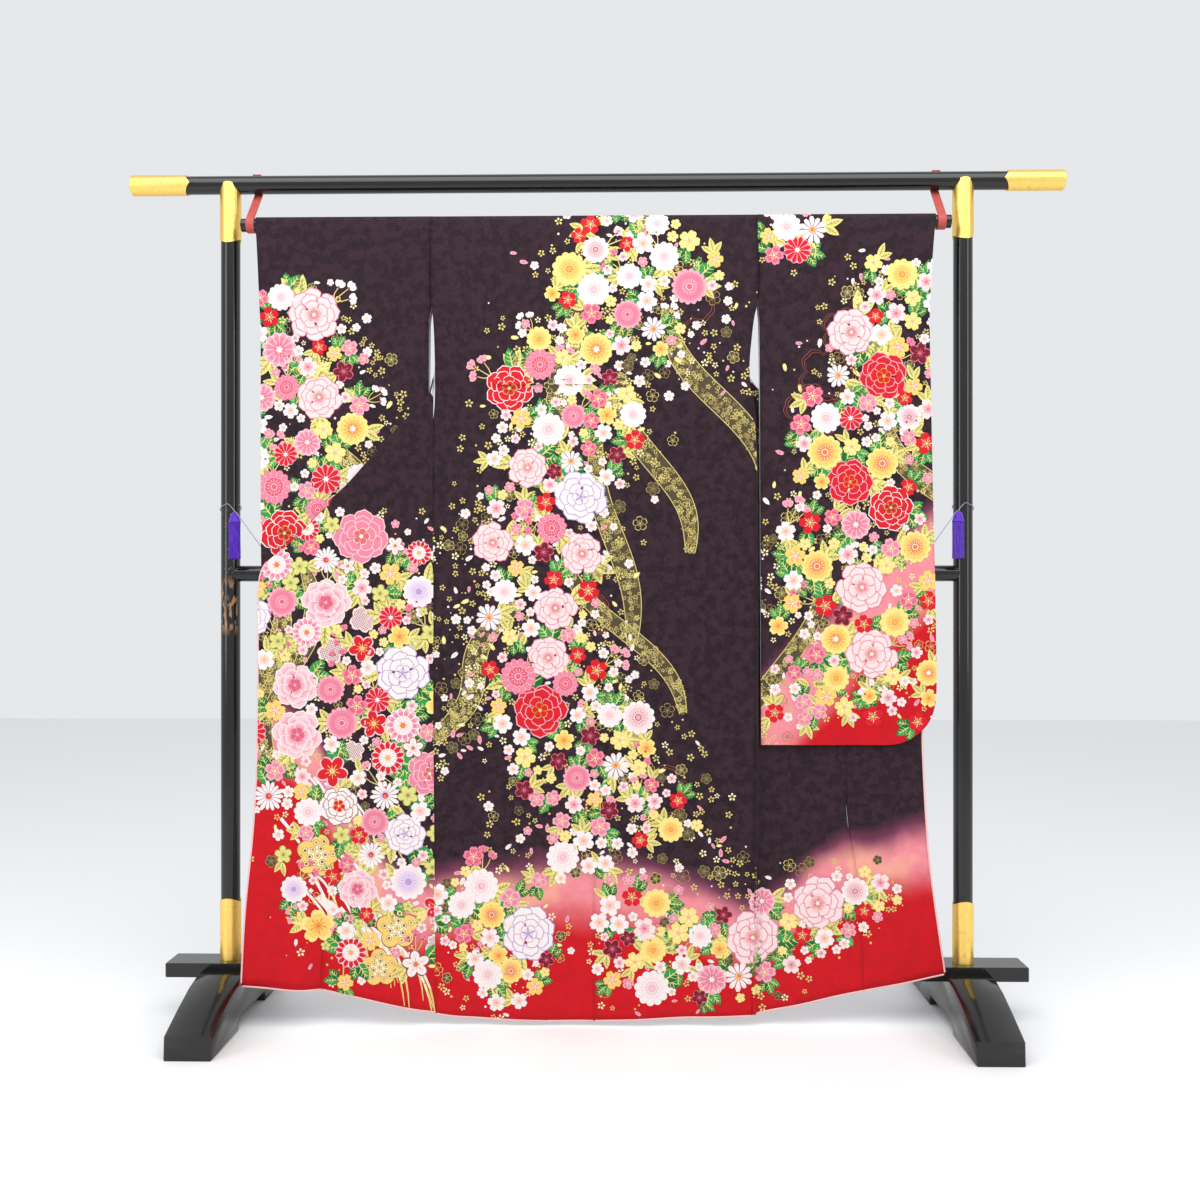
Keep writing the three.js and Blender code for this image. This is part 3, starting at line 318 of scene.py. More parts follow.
def right_sleeve_tide(x):
    """A straight slope, up to the sleeve's outer edge."""
    return RIGHT_SLEEVE_TIDE + (x - SLEEVE_INNER) * RIGHT_SLEEVE_SLOPE


def left_sleeve_tide(x):
    return LEFT_SLEEVE_TIDE - (x + SLEEVE_INNER) * LEFT_SLEEVE_SLOPE


def crepe_silk(name, tide, pink_depth, folded_back=False):
    """Figured crepe: plum brown, shading to pink and red below the tide line.

    pink_depth is the height of the pink band. folded_back gives the pale lining instead, which
    takes a blush of the same pink at the hem.
    """
    finish = Finish(name, Sheen_Weight=0.03, Sheen_Roughness=0.5, Specular_IOR_Level=0.14)
    point, x, _, z = finish.place()
    figure =finish.noise(point, DAMASK_SCALE, 4).step_up(0.44, 0.56)
    fine_figure = finish.noise(point, DAMASK_SCALE * 3.3, 3).step_up(0.42, 0.6)
    damask = figure * 0.6 + fine_figure * 0.4
    below = tide(x) + (finish.noise(point, 8, 3) - 0.5) * 0.07 - z
    if folded_back:
        colour = finish.mix(below.step_up(-0.03, 0.12) * 0.75, LINING_WHITE, LINING_PINK)
        colour = finish.mix(damask * 0.08, colour, cloth_dye(214, 206, 204))
    else:
        ground = finish.mix(damask * 0.9, PLUM_BROWN, PLUM_DEEP)
        rose = finish.mix(damask * 0.35, BLOSSOM_PINK, BLOSSOM_DEEP)
        rose = finish.mix(finish.noise(point, 11, 2).step_up(0.52, 0.66) * 0.6, rose, PEACH)
        crimson = finish.mix(damask * 0.4, CRIMSON, CRIMSON_DEEP)
        colour = finish.mix(below.step_up(-0.04, 0.006), ground, PLUM_VIOLET)
        colour = finish.mix(below.step_up(-0.014, 0.04), colour, rose)
        colour = finish.mix((below - pink_depth).step_up(-0.045, 0.04), colour, crimson)
    finish.drive(Base_Color=colour, Roughness=0.8 - damask * 0.14)
    crepe = finish.noise(point, CREPE_SCALE, 2)
    return finish.bump(crepe * 0.6 + damask * 0.4, 0.22 * MM, 0.55).material


# ---------------------------------------------------------------- making pieces


def new_piece(name, mesh, finishes):
    """An object of the stand's body, with its finishes."""
    piece = bpy.data.objects.new(name, mesh)
    bpy.context.scene.collection.objects.link(piece)
    mesh.materials.clear()
    for finish in finishes:
        mesh.materials.append(finish)
    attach(piece, "root")
    return piece


def smooth_by_angle(mesh, degrees):
    mesh.polygons.foreach_set("use_smooth", [True] * len(mesh.polygons))
    mesh.set_sharp_from_angle(angle=math.radians(degrees))


def refined_mesh(node, levels, crease_degrees):
    """A node's form with its facets rounded by subdivision, and its true edges kept."""
    form = bmesh.new()
    form.from_mesh(NODES[node].data)
    bmesh.ops.remove_doubles(form, verts=form.verts, dist=0.02 * MM)
    bmesh.ops.join_triangles(
        form, faces=form.faces, angle_face_threshold=math.radians(20), angle_shape_threshold=math.radians(70)
    )
    crease = form.edges.layers.float.new("crease_edge")
    for edge in form.edges:
        if len(edge.link_faces) == 2 and edge.calc_face_angle(0) > math.radians(crease_degrees):
            edge[crease] = 1.0
    rough = bpy.data.meshes.new(node)
    form.to_mesh(rough)
    form.free()
    holder = bpy.data.objects.new("rounding", rough)
    bpy.context.scene.collection.objects.link(holder)
    modifier = holder.modifiers.new("rounding", "SUBSURF")
    modifier.levels = levels
    modifier.render_levels = levels
    mesh = bpy.data.meshes.new_from_object(holder.evaluated_get(bpy.context.evaluated_depsgraph_get()))
    bpy.data.objects.remove(holder)
    bpy.data.meshes.remove(rough)
    return mesh


def refined_piece(name, node, finish, levels=2, crease_degrees=40):
    """A node's rounded form in its finish, which stands for the node."""
    mesh = refined_mesh(node, levels, crease_degrees)
    smooth_by_angle(mesh, crease_degrees)
    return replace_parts(new_piece(name, mesh, [finish]), node)


def mesh_from(name, points, faces, smooth_degrees=40):
    mesh = bpy.data.meshes.new(name)
    mesh.from_pydata([tuple(p) for p in points], [], faces)
    mesh.update()
    smooth_by_angle(mesh, smooth_degrees)
    return mesh


def gathered(forms):
    """The points and faces of several forms, as those of one."""
    points, faces = [], []
    for new_points, new_faces in forms:
        start = len(points)
        points += new_points
        faces += [tuple(start + i for i in face) for face in new_faces]
    return points, faces


# ---------------------------------------------------------------- cords of the tassels

POST_X = 732.5
TASSEL_X = 715
TASSEL_Y = -29
TASSEL_TOP = 1009
CORD_RADIUS = 0.8
CORD_LOOP = 20.4  # radius of the cord's turn round the post
LOOP_STEPS = 12
LOOP_START, LOOP_SWEEP = 205, 300  # degrees
LOOP_RISE, LOOP_TILT, TILT_START = 10, 8, 150  # above the tassel's top, up and down from there, degrees
# Where each cord meets its sleeve's edge: the distance from the middle, the depth and the height.
SLEEVE_EDGE = {"left": (660.2, -38, 941), "right": (664.9, -40.5, 947)}


def cord_route(side, sleeve_edge):
    """From beside the tassel's head once round the post, past the head and taut to the sleeve."""
    route = []
    for i in range(LOOP_STEPS + 1):
        angle = math.radians(LOOP_START - LOOP_SWEEP * i / LOOP_STEPS)
        height = TASSEL_TOP + LOOP_RISE + LOOP_TILT * math.sin(angle - math.radians(TILT_START))
        route.append((POST_X + CORD_LOOP * math.cos(angle), CORD_LOOP * math.sin(angle), height))
    route.append((TASSEL_X - 1, TASSEL_Y - 5, TASSEL_TOP + 2.5))
    route.append((TASSEL_X - 9, TASSEL_Y - 7, TASSEL_TOP - 6))
    route.append(sleeve_edge)
    return [Vector((side * x, y, z)) * MM for x, y, z in route]


def spline_through(points, steps):
    """Points of a smooth curve through all the given ones."""
    curve = []
    for i in range(len(points) - 1):
        before = points[max(i - 1, 0)]
        start, end = points[i], points[i + 1]
        after = points[min(i + 2, len(points) - 1)]
        for k in range(steps):
            t = k / steps
            bend = 2 * start + (end - before) * t + (2 * before - 5 * start + 4 * end - after) * t * t
            curve.append((bend + (3 * start - before - 3 * end + after) * t ** 3) / 2)
    curve.append(points[-1])
    return curve


def length_of(points):
    return sum((b - a).length for a, b in zip(points, points[1:]))


def tassel_cord(name, side, finish):
    route = spline_through(cord_route(side, SLEEVE_EDGE[name]), 6)
    data = bpy.data.curves.new(f"cord_{name}", "CURVE")
    data.dimensions = "3D"
    data.bevel_depth = CORD_RADIUS * MM
    data.bevel_resolution = 3
    data.use_fill_caps = True
    spline = data.splines.new("POLY")
    spline.points.add(len(route) - 1)
    for at, point in zip(spline.points, route):
        at.co = (*point, 1)
    data.materials.append(finish)
    cord = bpy.data.objects.new(f"silk_cord_{name}", data)
    bpy.context.scene.collection.objects.link(cord)
    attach(cord, "root")
    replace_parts(cord, f"tassel_cord_{name}")
    length_of(route)


# ---------------------------------------------------------------- tassels

HEAD_LENGTH = 20
HEAD_RADIUS = 12
NECK_RADIUS = 8.2
WRAPS = 22  # ridges and grooves of the thread bound round the head
WRAP_RIDGE = 0.35
TASSEL_LENGTH = 93
TASSEL_RADIUS = 12.4  # at the tips
STRAND_COUNT = 150
STRAND_RADIUS = 0.75
STRAND_ROOT = 1.5  # how far a strand reaches up into the head
STRAND_SIDES, STRAND_ROWS = 5, 6
STRANDS_IN = 1.2  # from the head's edge to the outermost strand's middle
TIPS_IN = 1.1  # from the skirt's edge to the outermost tip's middle
STRAND_TURN = 2.39996  # radians from each strand to the next, so that they fill a disc evenly


def turned(profile, sides):
    """Points and faces of a profile of (radius, height) turned about the Z axis, closed at its ends."""
    points = [
        (r * math.cos(2 * math.pi * i / sides), r * math.sin(2 * math.pi * i / sides), z)
        for r, z in profile for i in range(sides)
    ]
    faces = []
    for row in range(len(profile) - 1):
        for i in range(sides):
            here, beside = row * sides + i, row * sides + (i + 1) % sides
            faces.append((here, beside, beside + sides, here + sides))
    last = (len(profile) - 1) * sides
    faces.append(tuple(reversed(range(sides))))
    faces.append(tuple(range(last, last + sides)))
    return points, faces


def tassel_head():
    """The bound head: a bell with threads wrapped round it, its top at height 0."""
    profile = [(0.4, -HEAD_LENGTH), (HEAD_RADIUS - 0.6, -HEAD_LENGTH)]
    for i in range(WRAPS + 1):
        share = i / WRAPS
        bell = NECK_RADIUS + (HEAD_RADIUS - NECK_RADIUS) * (1 - share) ** 1.6
        ridge = WRAP_RIDGE * (i % 2)
        profile.append((bell + ridge, -HEAD_LENGTH + 0.8 + share * (HEAD_LENGTH - 4)))
    profile += [(6.4, -1.6), (3.8, -0.3), (0.4, 0)]
    return turned(profile, 28)


def tassel_strand(index, dice):
    """One loose strand, from inside the head to its tip, which sways a little and flares outwards."""
    spread = math.sqrt((index + 0.5) / STRAND_COUNT)
    angle = index * STRAND_TURN
    reach = (HEAD_RADIUS - STRANDS_IN) * spread
    flare = TASSEL_RADIUS - TIPS_IN - (HEAD_RADIUS - STRANDS_IN)
    sway, phase = dice.uniform(0.1, 0.5), dice.uniform(0, 6.28)
    tip = TASSEL_LENGTH - dice.uniform(0.3, 3.5)
    points = []
    for row in range(STRAND_ROWS + 1):
        t = row / STRAND_ROWS
        r = reach + flare * spread * t + sway * math.sin(phase + 5 * t)
        turn = angle + 0.06 * math.sin(phase + 3 * t)
        height = -HEAD_LENGTH + STRAND_ROOT - (tip - HEAD_LENGTH + STRAND_ROOT) * t
        for s in range(STRAND_SIDES):
            around = 2 * math.pi * s / STRAND_SIDES
            points.append((
                r * math.cos(turn) + STRAND_RADIUS * math.cos(around),
                r * math.sin(turn) + STRAND_RADIUS * math.sin(around), height,
            ))
    faces = []
    for row in range(STRAND_ROWS):
        for s in range(STRAND_SIDES):
            here, beside = row * STRAND_SIDES + s, row * STRAND_SIDES + (s + 1) % STRAND_SIDES
            faces.append((here, here + STRAND_SIDES, beside + STRAND_SIDES, beside))
    faces.append(tuple(range(STRAND_SIDES)))
    faces.append(tuple(reversed(range(STRAND_ROWS * STRAND_SIDES, (STRAND_ROWS + 1) * STRAND_SIDES))))
    return points, faces


def tassel(name, side, finish):
    """A bound head over a skirt of loose strands."""
    dice = random.Random(f"tassel {name}")
    points, faces = gathered([tassel_head(), *(tassel_strand(i, dice) for i in range(STRAND_COUNT))])
    placed = [
        Vector((side * TASSEL_X + x, TASSEL_Y + y, TASSEL_TOP + z)) * MM for x, y, z in points
    ]
    piece = new_piece(f"silk_tassel_{name}", mesh_from("tassel", placed, faces, 60), [finish])
    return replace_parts(piece, f"tassel_{name}")


# ---------------------------------------------------------------- the stand

NAIL_RADIUS = 1.7
NAIL_DOME = 0.55  # a nail head's height for its radius
FITTING_NAIL_HEIGHTS = (1562, 1606, 224, 180)
FITTING_SURFACE = 20.7  # from the post's middle line
CAP_NAIL_PLACES = (822, 868)  # from the middle of the rail
CAP_SURFACE = 20.1  # from the rail's middle line
RAIL_HEIGHT = 1669


def nail(centre, outward):
    """A low domed nail head on a surface, as points and faces."""
    radius = NAIL_RADIUS * MM
    across = outward.orthogonal().normalized()
    along = outward.cross(across)
    sides, rings = 12, 4
    points = []
    for ring in range(rings):
        tilt = math.pi / 2 * ring / rings
        for i in range(sides):
            around = 2 * math.pi * i / sides
            flat = (across * math.cos(around) + along * math.sin(around)) * radius * math.cos(tilt)
            points.append(centre + flat + outward * radius * NAIL_DOME * math.sin(tilt))
    points.append(centre + outward * radius * NAIL_DOME)
    faces = [tuple(reversed(range(sides)))]
    for ring in range(rings - 1):
        for i in range(sides):
            here, beside = ring * sides + i, ring * sides + (i + 1) % sides
            faces.append((here, beside, beside + sides, here + sides))
    top = (rings - 1) * sides
    faces += [(top + i, top + (i + 1) % sides, len(points) - 1) for i in range(sides)]
    return points, faces


def nail_set(name, places, finish):
    """Nail heads at places of (centre, outward), as one piece."""
    points, faces = gathered(nail(centre, outward) for centre, outward in places)
    return new_piece(name, mesh_from(name, points, faces, 60), [finish])


def fitting_nails(name, side, finish):
    """Nails at the scallops of the post's two fittings, at the front and back."""
    places = []
    for height in FITTING_NAIL_HEIGHTS:
        for facing in (-1, 1):
            outward = Vector((0, facing, 0))
            places.append((Vector((side * POST_X, facing * FITTING_SURFACE, height)) * MM, outward))
    nail_set(f"fitting_nails_{name}", places, finish)


def cap_nails(name, side, finish):
    """Nails in two rings round the cap of the top rail's end."""
    places = []
    for along in CAP_NAIL_PLACES:
        for turn in (0, 90, 180, 270):
            angle = math.radians(turn)
            outward = Vector((0, -math.cos(angle), math.sin(angle)))
            middle = Vector((side * along, 0, RAIL_HEIGHT)) * MM
            places.append((middle + outward * CAP_SURFACE * MM, outward))
    nail_set(f"cap_nails_{name}", places, finish)


def stand():
    lacquer = black_lacquer("black_lacquer")
    scraped = black_lacquer("scraped_lacquer", scraped=True)
    gold = gilt()
    strap = red_strap()
    refined_piece("lacquered_top_rail", "top_rail", lacquer)
    refined_piece("lacquered_mid_rail", "mid_rail", lacquer)
    refined_piece("lacquered_rod", "hanging_rod", lacquer)
    for name, side in (("left", -1), ("right", 1)):
        post_finish = scraped if side < 0 else lacquer
        refined_piece(f"lacquered_post_{name}", f"post_{name}", post_finish)
        for node in (f"foot_beam_{name}", f"foot_plank_{name}"):
            refined_piece(f"lacquered_{node}", node, lacquer, levels=1, crease_degrees=25)
        for node in (f"rail_cap_{name}", f"post_top_fitting_{name}", f"post_bottom_fitting_{name}"):
            refined_piece(f"gilded_{node}", node, gold)
        refined_piece(f"red_hook_{name}", f"hook_{name}", strap)
        fitting_nails(name, side, gold)
        cap_nails(name, side, gold)


def tassels():
    purple = silk_thread("purple_silk", dye(58, 18, 150), dye(104, 48, 196), 900)
    grey = silk_thread("grey_silk", dye(120, 106, 128), dye(168, 154, 172), 1400)
    for name, side in (("left", -1), ("right", 1)):
        tassel_cord(name, side, grey)
        tassel(name, side, purple)


tassels()
stand()


# ---------------------------------------------------------------- the garment's cloth

# Fine creases of each panel, in millimetres: x and height of one end and of the other, half width and
# depth. A ridge has a positive depth and comes towards the viewer, a trough is negative.
CREASES = {
    "back_left": [
        (-250, 1530, -262, 1290, 9, 0.8), (-180, 1240, -205, 760, 12, -1.0), (-90, 1180, -70, 820, 10, 0.9),
        (-262, 700, -250, 240, 11, 1.1), (-160, 520, -172, 60, 13, -1.2), (-60, 460, -82, 60, 12, 1.2),
        (-30, 1240, -40, 980, 8, -0.7), (-215, 1560, -228, 1450, 7, -0.6),
    ],
    "back_right": [
        (262, 1540, 250, 1300, 9, 0.9), (120, 1240, 142, 800, 12, -1.0), (205, 1150, 226, 760, 10, 1.0),
        (40, 700, 52, 260, 12, -1.2), (120, 430, 134, 60, 12, 1.2), (210, 620, 202, 120, 14, -1.3),
        (270, 760, 282, 120, 9, 1.0), (60, 1560, 66, 1440, 7, 0.6),
    ],
    "front_left": [
        (-330, 1150, -352, 1010, 7, -1.4), (-340, 1120, -392, 1000, 9, 1.5),
        (-360, 1060, -430, 940, 10, -1.3), (-345, 980, -352, 600, 10, 1.0),
        (-440, 900, -448, 420, 12, -1.3), (-492, 820, -486, 240, 10, 1.1),
        (-400, 540, -420, 90, 12, -1.4), (-340, 420, -336, 60, 9, 1.1),
    ],
    "front_right": [
        (370, 540, 376, 80, 10, 1.2), (440, 520, 452, 120, 10, -1.2), (486, 460, 500, 120, 8, 0.9),
    ],
    "okumi_left": [
        (-545, 900, -552, 420, 9, 1.1), (-610, 860, -606, 520, 10, -1.2), (-580, 480, -600, 110, 11, 1.3),
        (-640, 420, -660, 120, 9, -1.2), (-560, 330, -566, 100, 8, -1.0),
    ],
    "okumi_right": [
        (540, 520, 552, 120, 10, 1.2), (600, 480, 622, 150, 10, -1.1), (640, 420, 662, 150, 8, 0.9),
    ],
    "sleeve_left": [
        (-352, 1520, -346, 1250, 9, -1.0), (-400, 1540, -420, 1150, 12, 1.1),
        (-480, 1490, -486, 1080, 12, -1.1), (-560, 1530, -548, 1120, 11, 1.1),
        (-630, 1460, -622, 1040, 10, -1.0),
    ],
    "sleeve_right": [
        (352, 1500, 350, 1120, 9, -1.0), (420, 1520, 432, 1080, 12, 1.1), (482, 1440, 478, 900, 12, -1.1),
        (560, 1500, 552, 1020, 11, 1.0), (620, 1420, 630, 820, 12, -1.1), (390, 980, 398, 600, 12, 1.1),
        (470, 860, 466, 590, 12, 1.0), (560, 900, 566, 600, 12, -1.1), (640, 820, 632, 660, 8, 0.8),
    ],
}
CREASE_SOFTNESS = 1.7  # a crease fades out over this many of its half widths
CREASE_RUN_ON = 0.1  # and runs on past its ends by this share of its length

ROD_LOW, ROD_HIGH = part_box("hanging_rod")
ROD_DEPTH = (ROD_LOW.y + ROD_HIGH.y) / 2
ROD_HEIGHT = (ROD_LOW.z + ROD_HIGH.z) / 2
TURNED_DOWN = 30  # the backs' tops end within this much below the rod's middle, on its far side
HEMMED = ("back_left", "back_right", "front_left", "front_right", "okumi_left", "okumi_right")
LINING = 1  # the place of the lining among a panel's finishes
SLIT_FOOT = 1210  # the fronts pass through the sleeve slits above this height
SLIT_TURN = 90  # and have turned over this far above it
COLLAR_TURN = 1250  # the collar looks away from the viewer above this height
TOWARDS, AWAY = Vector((0, -1, 0)), Vector((0, 1, 0))
STEP_BACK = Vector((0.5, -1, 0))  # outward on the right front, which steps back beside its side seam
LOOKS_ALONG = 0.7  # a face looks along a way when its normal has this much of it
LOOKS_AWAY = -0.3  # and looks away from it when it has less than this


def crease_depth(creases, x, z):
    """How far the creases bring the cloth at (x, z) towards the viewer, in millimetres."""
    depth = 0
    for from_x, from_z, to_x, to_z, width, height in creases:
        run_x, run_z = to_x - from_x, to_z - from_z
        length = math.hypot(run_x, run_z)
        t = ((x - from_x) * run_x + (z - from_z) * run_z) / length ** 2
        across = abs((x - from_x) * run_z - (z - from_z) * run_x) / length
        reach = CREASE_SOFTNESS * width
        if -CREASE_RUN_ON < t < 1 + CREASE_RUN_ON and across < 3 * reach:
            ends = math.sin(math.pi * (t + CREASE_RUN_ON) / (1 + 2 * CREASE_RUN_ON)) ** 0.8
            depth += height * math.exp(-((across / reach) ** 2)) * ends
    return depth


def outward_at(panel, place):
    """The way a panel's outer face looks. The fronts turn over where they pass through the slit."""
    z = place.z
    if z > ROD_HEIGHT and not panel.startswith("collar"):
        return Vector((0, place.y - ROD_DEPTH, z - ROD_HEIGHT))
    if panel.startswith("back") and z > ROD_HEIGHT - TURNED_DOWN * MM and place.y > ROD_DEPTH:
        return AWAY
    if panel == "front_right" and z < SLIT_FOOT * MM:
        return STEP_BACK
    if panel.startswith("front") or panel.startswith("okumi"):
        turn = min(max((z - SLIT_FOOT * MM) / (SLIT_TURN * MM), 0), 1) * math.pi
        side = -1 if panel.endswith("left") else 1
        return Vector((side * math.sin(turn), -math.cos(turn), 0))
    if panel == "collar_right":
        return AWAY
    if panel in ("collar_back", "collar_left") and z > COLLAR_TURN * MM:
        return AWAY
    return TOWARDS


SEAM_CLOSING = 0.4  # how far a panel's sewn edges are let out to meet the next panel
SIDE_SEAM = (290, 340)  # where the side seams run, at each side of the middle
SIDE_SEAM_CLOSING = 0.8


def close_seams(mesh):
    """Let the narrow side faces of a panel out, so that no light passes between sewn panels."""
    moved = {}
    for face in mesh.polygons:
        if abs(face.normal.x) > LOOKS_ALONG:
            at_side = SIDE_SEAM[0] * MM < abs(face.center.x) < SIDE_SEAM[1] * MM
            closing = SIDE_SEAM_CLOSING if at_side else SEAM_CLOSING
            for index in face.vertices:
                moved[index] = math.copysign(closing * MM, face.normal.x)
    for index, shift in moved.items():
        mesh.vertices[index].co.x += shift


TUCK_TOP, TUCK_FOLD, TUCK_FOOT = 1266, 1256, 1254.5  # heights of the waist tuck's fold
TUCK_ENDS = (-205, 95)
TUCK_FADE = 12  # over which the tuck runs out at each end
TUCK_DEPTH = 2.4


def tuck_waist(mesh):
    """The tuck across the back of the waist: the cloth comes forward to a fold and drops back under it."""
    form = bmesh.new()
    form.from_mesh(mesh)
    for height in (TUCK_TOP, TUCK_FOLD, TUCK_FOOT):
        parts = form.verts[:] + form.edges[:] + form.faces[:]
        bmesh.ops.bisect_plane(form, geom=parts, plane_co=(0, 0, height * MM), plane_no=(0, 0, 1))
    for vertex in form.verts:
        x, _, z = vertex.co / MM
        if TUCK_ENDS[0] < x < TUCK_ENDS[1] and TUCK_FOLD - 0.1 < z < TUCK_TOP:
            ends = min((x - TUCK_ENDS[0]) / TUCK_FADE, (TUCK_ENDS[1] - x) / TUCK_FADE, 1)
            vertex.co.y -= TUCK_DEPTH * ends * (TUCK_TOP - z) / (TUCK_TOP - TUCK_FOLD) * MM
    form.to_mesh(mesh)
    form.free()


EDGE_RADIUS = 2.0  # of the padded lining edge that shows along the hem
EDGE_SIDES = 8
EDGE_ROW = 5  # spacing of the points along it
EDGE_RUN_ON = 3  # how far it runs on past the cloth at its ends
EDGE_TOP = 0.95  # metres: it ends below this height


def edge_run(mesh, way, along):
    """The middle line of a panel's narrow edge that looks a given way, in order along an axis."""
    rows = {}
    for face in mesh.polygons:
        if face.normal.dot(way) > LOOKS_ALONG and face.center.z < EDGE_TOP:
            rows.setdefault(round(face.center[along] / (EDGE_ROW * MM)), []).append(face.center)
    run = [sum(centres, Vector()) / len(centres) for _, centres in sorted(rows.items())]
    first, last = (run[0] - run[1]).normalized(), (run[-1] - run[-2]).normalized()
    return [run[0] + first * EDGE_RUN_ON * MM, *run, run[-1] + last * EDGE_RUN_ON * MM]


def padded_tube(run):
    """A closed tube of the lining edge's thickness along a run."""
    sides = EDGE_SIDES
    points = []
    for i, point in enumerate(run):
        way = (run[min(i + 1, len(run) - 1)] - run[max(i - 1, 0)]).normalized()
        side = way.cross(AWAY).normalized()
        for k in range(sides):
            angle = 2 * math.pi * k / sides
            points.append(point + (AWAY * math.cos(angle) + side * math.sin(angle)) * EDGE_RADIUS * MM)
    faces = []
    for i in range(len(run) - 1):
        for k in range(sides):
            here, beside = i * sides + k, i * sides + (k + 1) % sides
            faces.append((here, beside, beside + sides, here + sides))
    faces.append(tuple(reversed(range(sides))))
    faces.append(tuple(range((len(run) - 1) * sides, len(run) * sides)))
    return points, faces


def lining_edge(panel, mesh, finish):
    """The lining rolled out past the outer cloth: along the hem, and up the overlap panel's free edge."""
    runs = [edge_run(mesh, Vector((0, 0, -1)), 0)]
    if panel.startswith("okumi"):
        runs.append(edge_run(mesh, Vector((-1 if panel.endswith("left") else 1, 0, 0)), 2))
    points, faces = gathered(padded_tube(run) for run in runs)
    return new_piece(f"lining_edge_{panel}", mesh_from("edge", points, faces, 60), [finish])


CLOTH_LEVELS = 2  # of subdivision
CLOTH_CREASE = 50  # degrees: a bend over this stays an edge


def cloth_panel(panel, outer, inner, flat, area=None):
    """A panel of lined silk on its node's form: outer cloth on one face, lining on the other."""
    mesh = refined_mesh(panel, CLOTH_LEVELS, CLOTH_CREASE)
    creases = CREASES.get(panel, [])
    for vertex in mesh.vertices:
        x, y, z = vertex.co / MM
        vertex.co.y -= crease_depth(creases, x, z) * MM
    if panel.startswith("back"):
        tuck_waist(mesh)
    close_seams(mesh)
    mesh.update()
    smooth_by_angle(mesh, CLOTH_CREASE)
    piece = new_piece(f"silk_{panel}", mesh, [outer, inner])
    low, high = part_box(panel)
    middle = (low.y + high.y) / 2
    for face in mesh.polygons:
        way = face.normal.y
        if panel.startswith("sleeve"):
            hollow = abs(way) > -LOOKS_AWAY and way * (face.center.y - middle) < 0
        else:
            hollow = face.normal.dot(outward_at(panel, face.center).normalized()) < LOOKS_AWAY
        face.material_index = LINING if hollow else 0
    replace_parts(piece, panel)
    return piece, dict(flat=flat, area=area)


# ---------------------------------------------------------------- dyes and gold of the pattern

PATTERN_DYES = {
    "white": (244, 234, 232), "milk": (244, 220, 218), "blush": (242, 200, 204), "pale_pink": (238, 168, 182),
    "pink": (232, 132, 156), "rose": (226, 96, 122), "scarlet": (216, 22, 36), "crimson": (170, 10, 28),
    "maroon": (112, 22, 40), "cream": (250, 238, 190), "yellow": (246, 224, 134), "saffron": (248, 204, 110),
    "amber": (244, 176, 88), "orange": (230, 130, 52), "lime": (222, 220, 128), "leaf": (50, 150, 76),
    "deep_leaf": (22, 106, 52), "lavender": (226, 206, 232), "lilac": (190, 158, 204),
    "bronze": (146, 78, 62), "gold": (228, 208, 124), "old_gold": (170, 150, 86), "lace": (84, 72, 50),
}
FOIL = ("gold", "old_gold", "lace")
CLOTH_GAP = 0.25  # the pattern's lowest layer lies this far off the cloth
LEVEL_STEP = 0.14
LAYER_STEP = 0.04
LONGEST_SPAN = 8  # no part of a ring is wider than this, so that it follows the cloth


def pattern_dye(name):
    """Dye or gold leaf printed on the crepe, which keeps the crepe's grain."""
    foil = name in FOIL
    finish = Finish(
        f"dye_{name}", Base_Color=cloth_dye(*PATTERN_DYES[name]), Roughness=0.42 if foil else 0.66,
        Metallic=0.35 if foil else 0.0, Specular_IOR_Level=0.4 if foil else 0.2, Sheen_Weight=0.03,
    )
    point, _, _, _ = finish.place()
    return finish.bump(finish.noise(point, CREPE_SCALE, 2), 0.12 * MM, 0.5).material


class Pattern:
    """Dyed shapes on one stretch of cloth, flat in x and height, in millimetres, and where each lies."""

    def __init__(self, name):
        self.dice = random.Random(name)
        self.shapes = []
        self.taken = []

    def room(self, x, z, radius, crowding):
        return all(math.hypot(x - u, z - v) > crowding * (radius + r) for u, v, r, _ in self.taken)

    def free_level(self, x, z, radius, least):
        near = {level for u, v, r, level in self.taken if math.hypot(x - u, z - v) < 0.97 * (radius + r)}
        return next(level for level in range(least, 99) if level not in near)

    def motif(self, x, z, size, turn=None, least=0, solid=True):
        """A frame to draw one motif in, on a level that nothing it touches lies on."""
        turn = self.dice.uniform(0, 2 * math.pi) if turn is None else turn
        level = self.free_level(x, z, size, least) if solid else least
        if solid:
            self.taken.append((x, z, size, level))
        return Motif(self, x, z, size, turn, level)


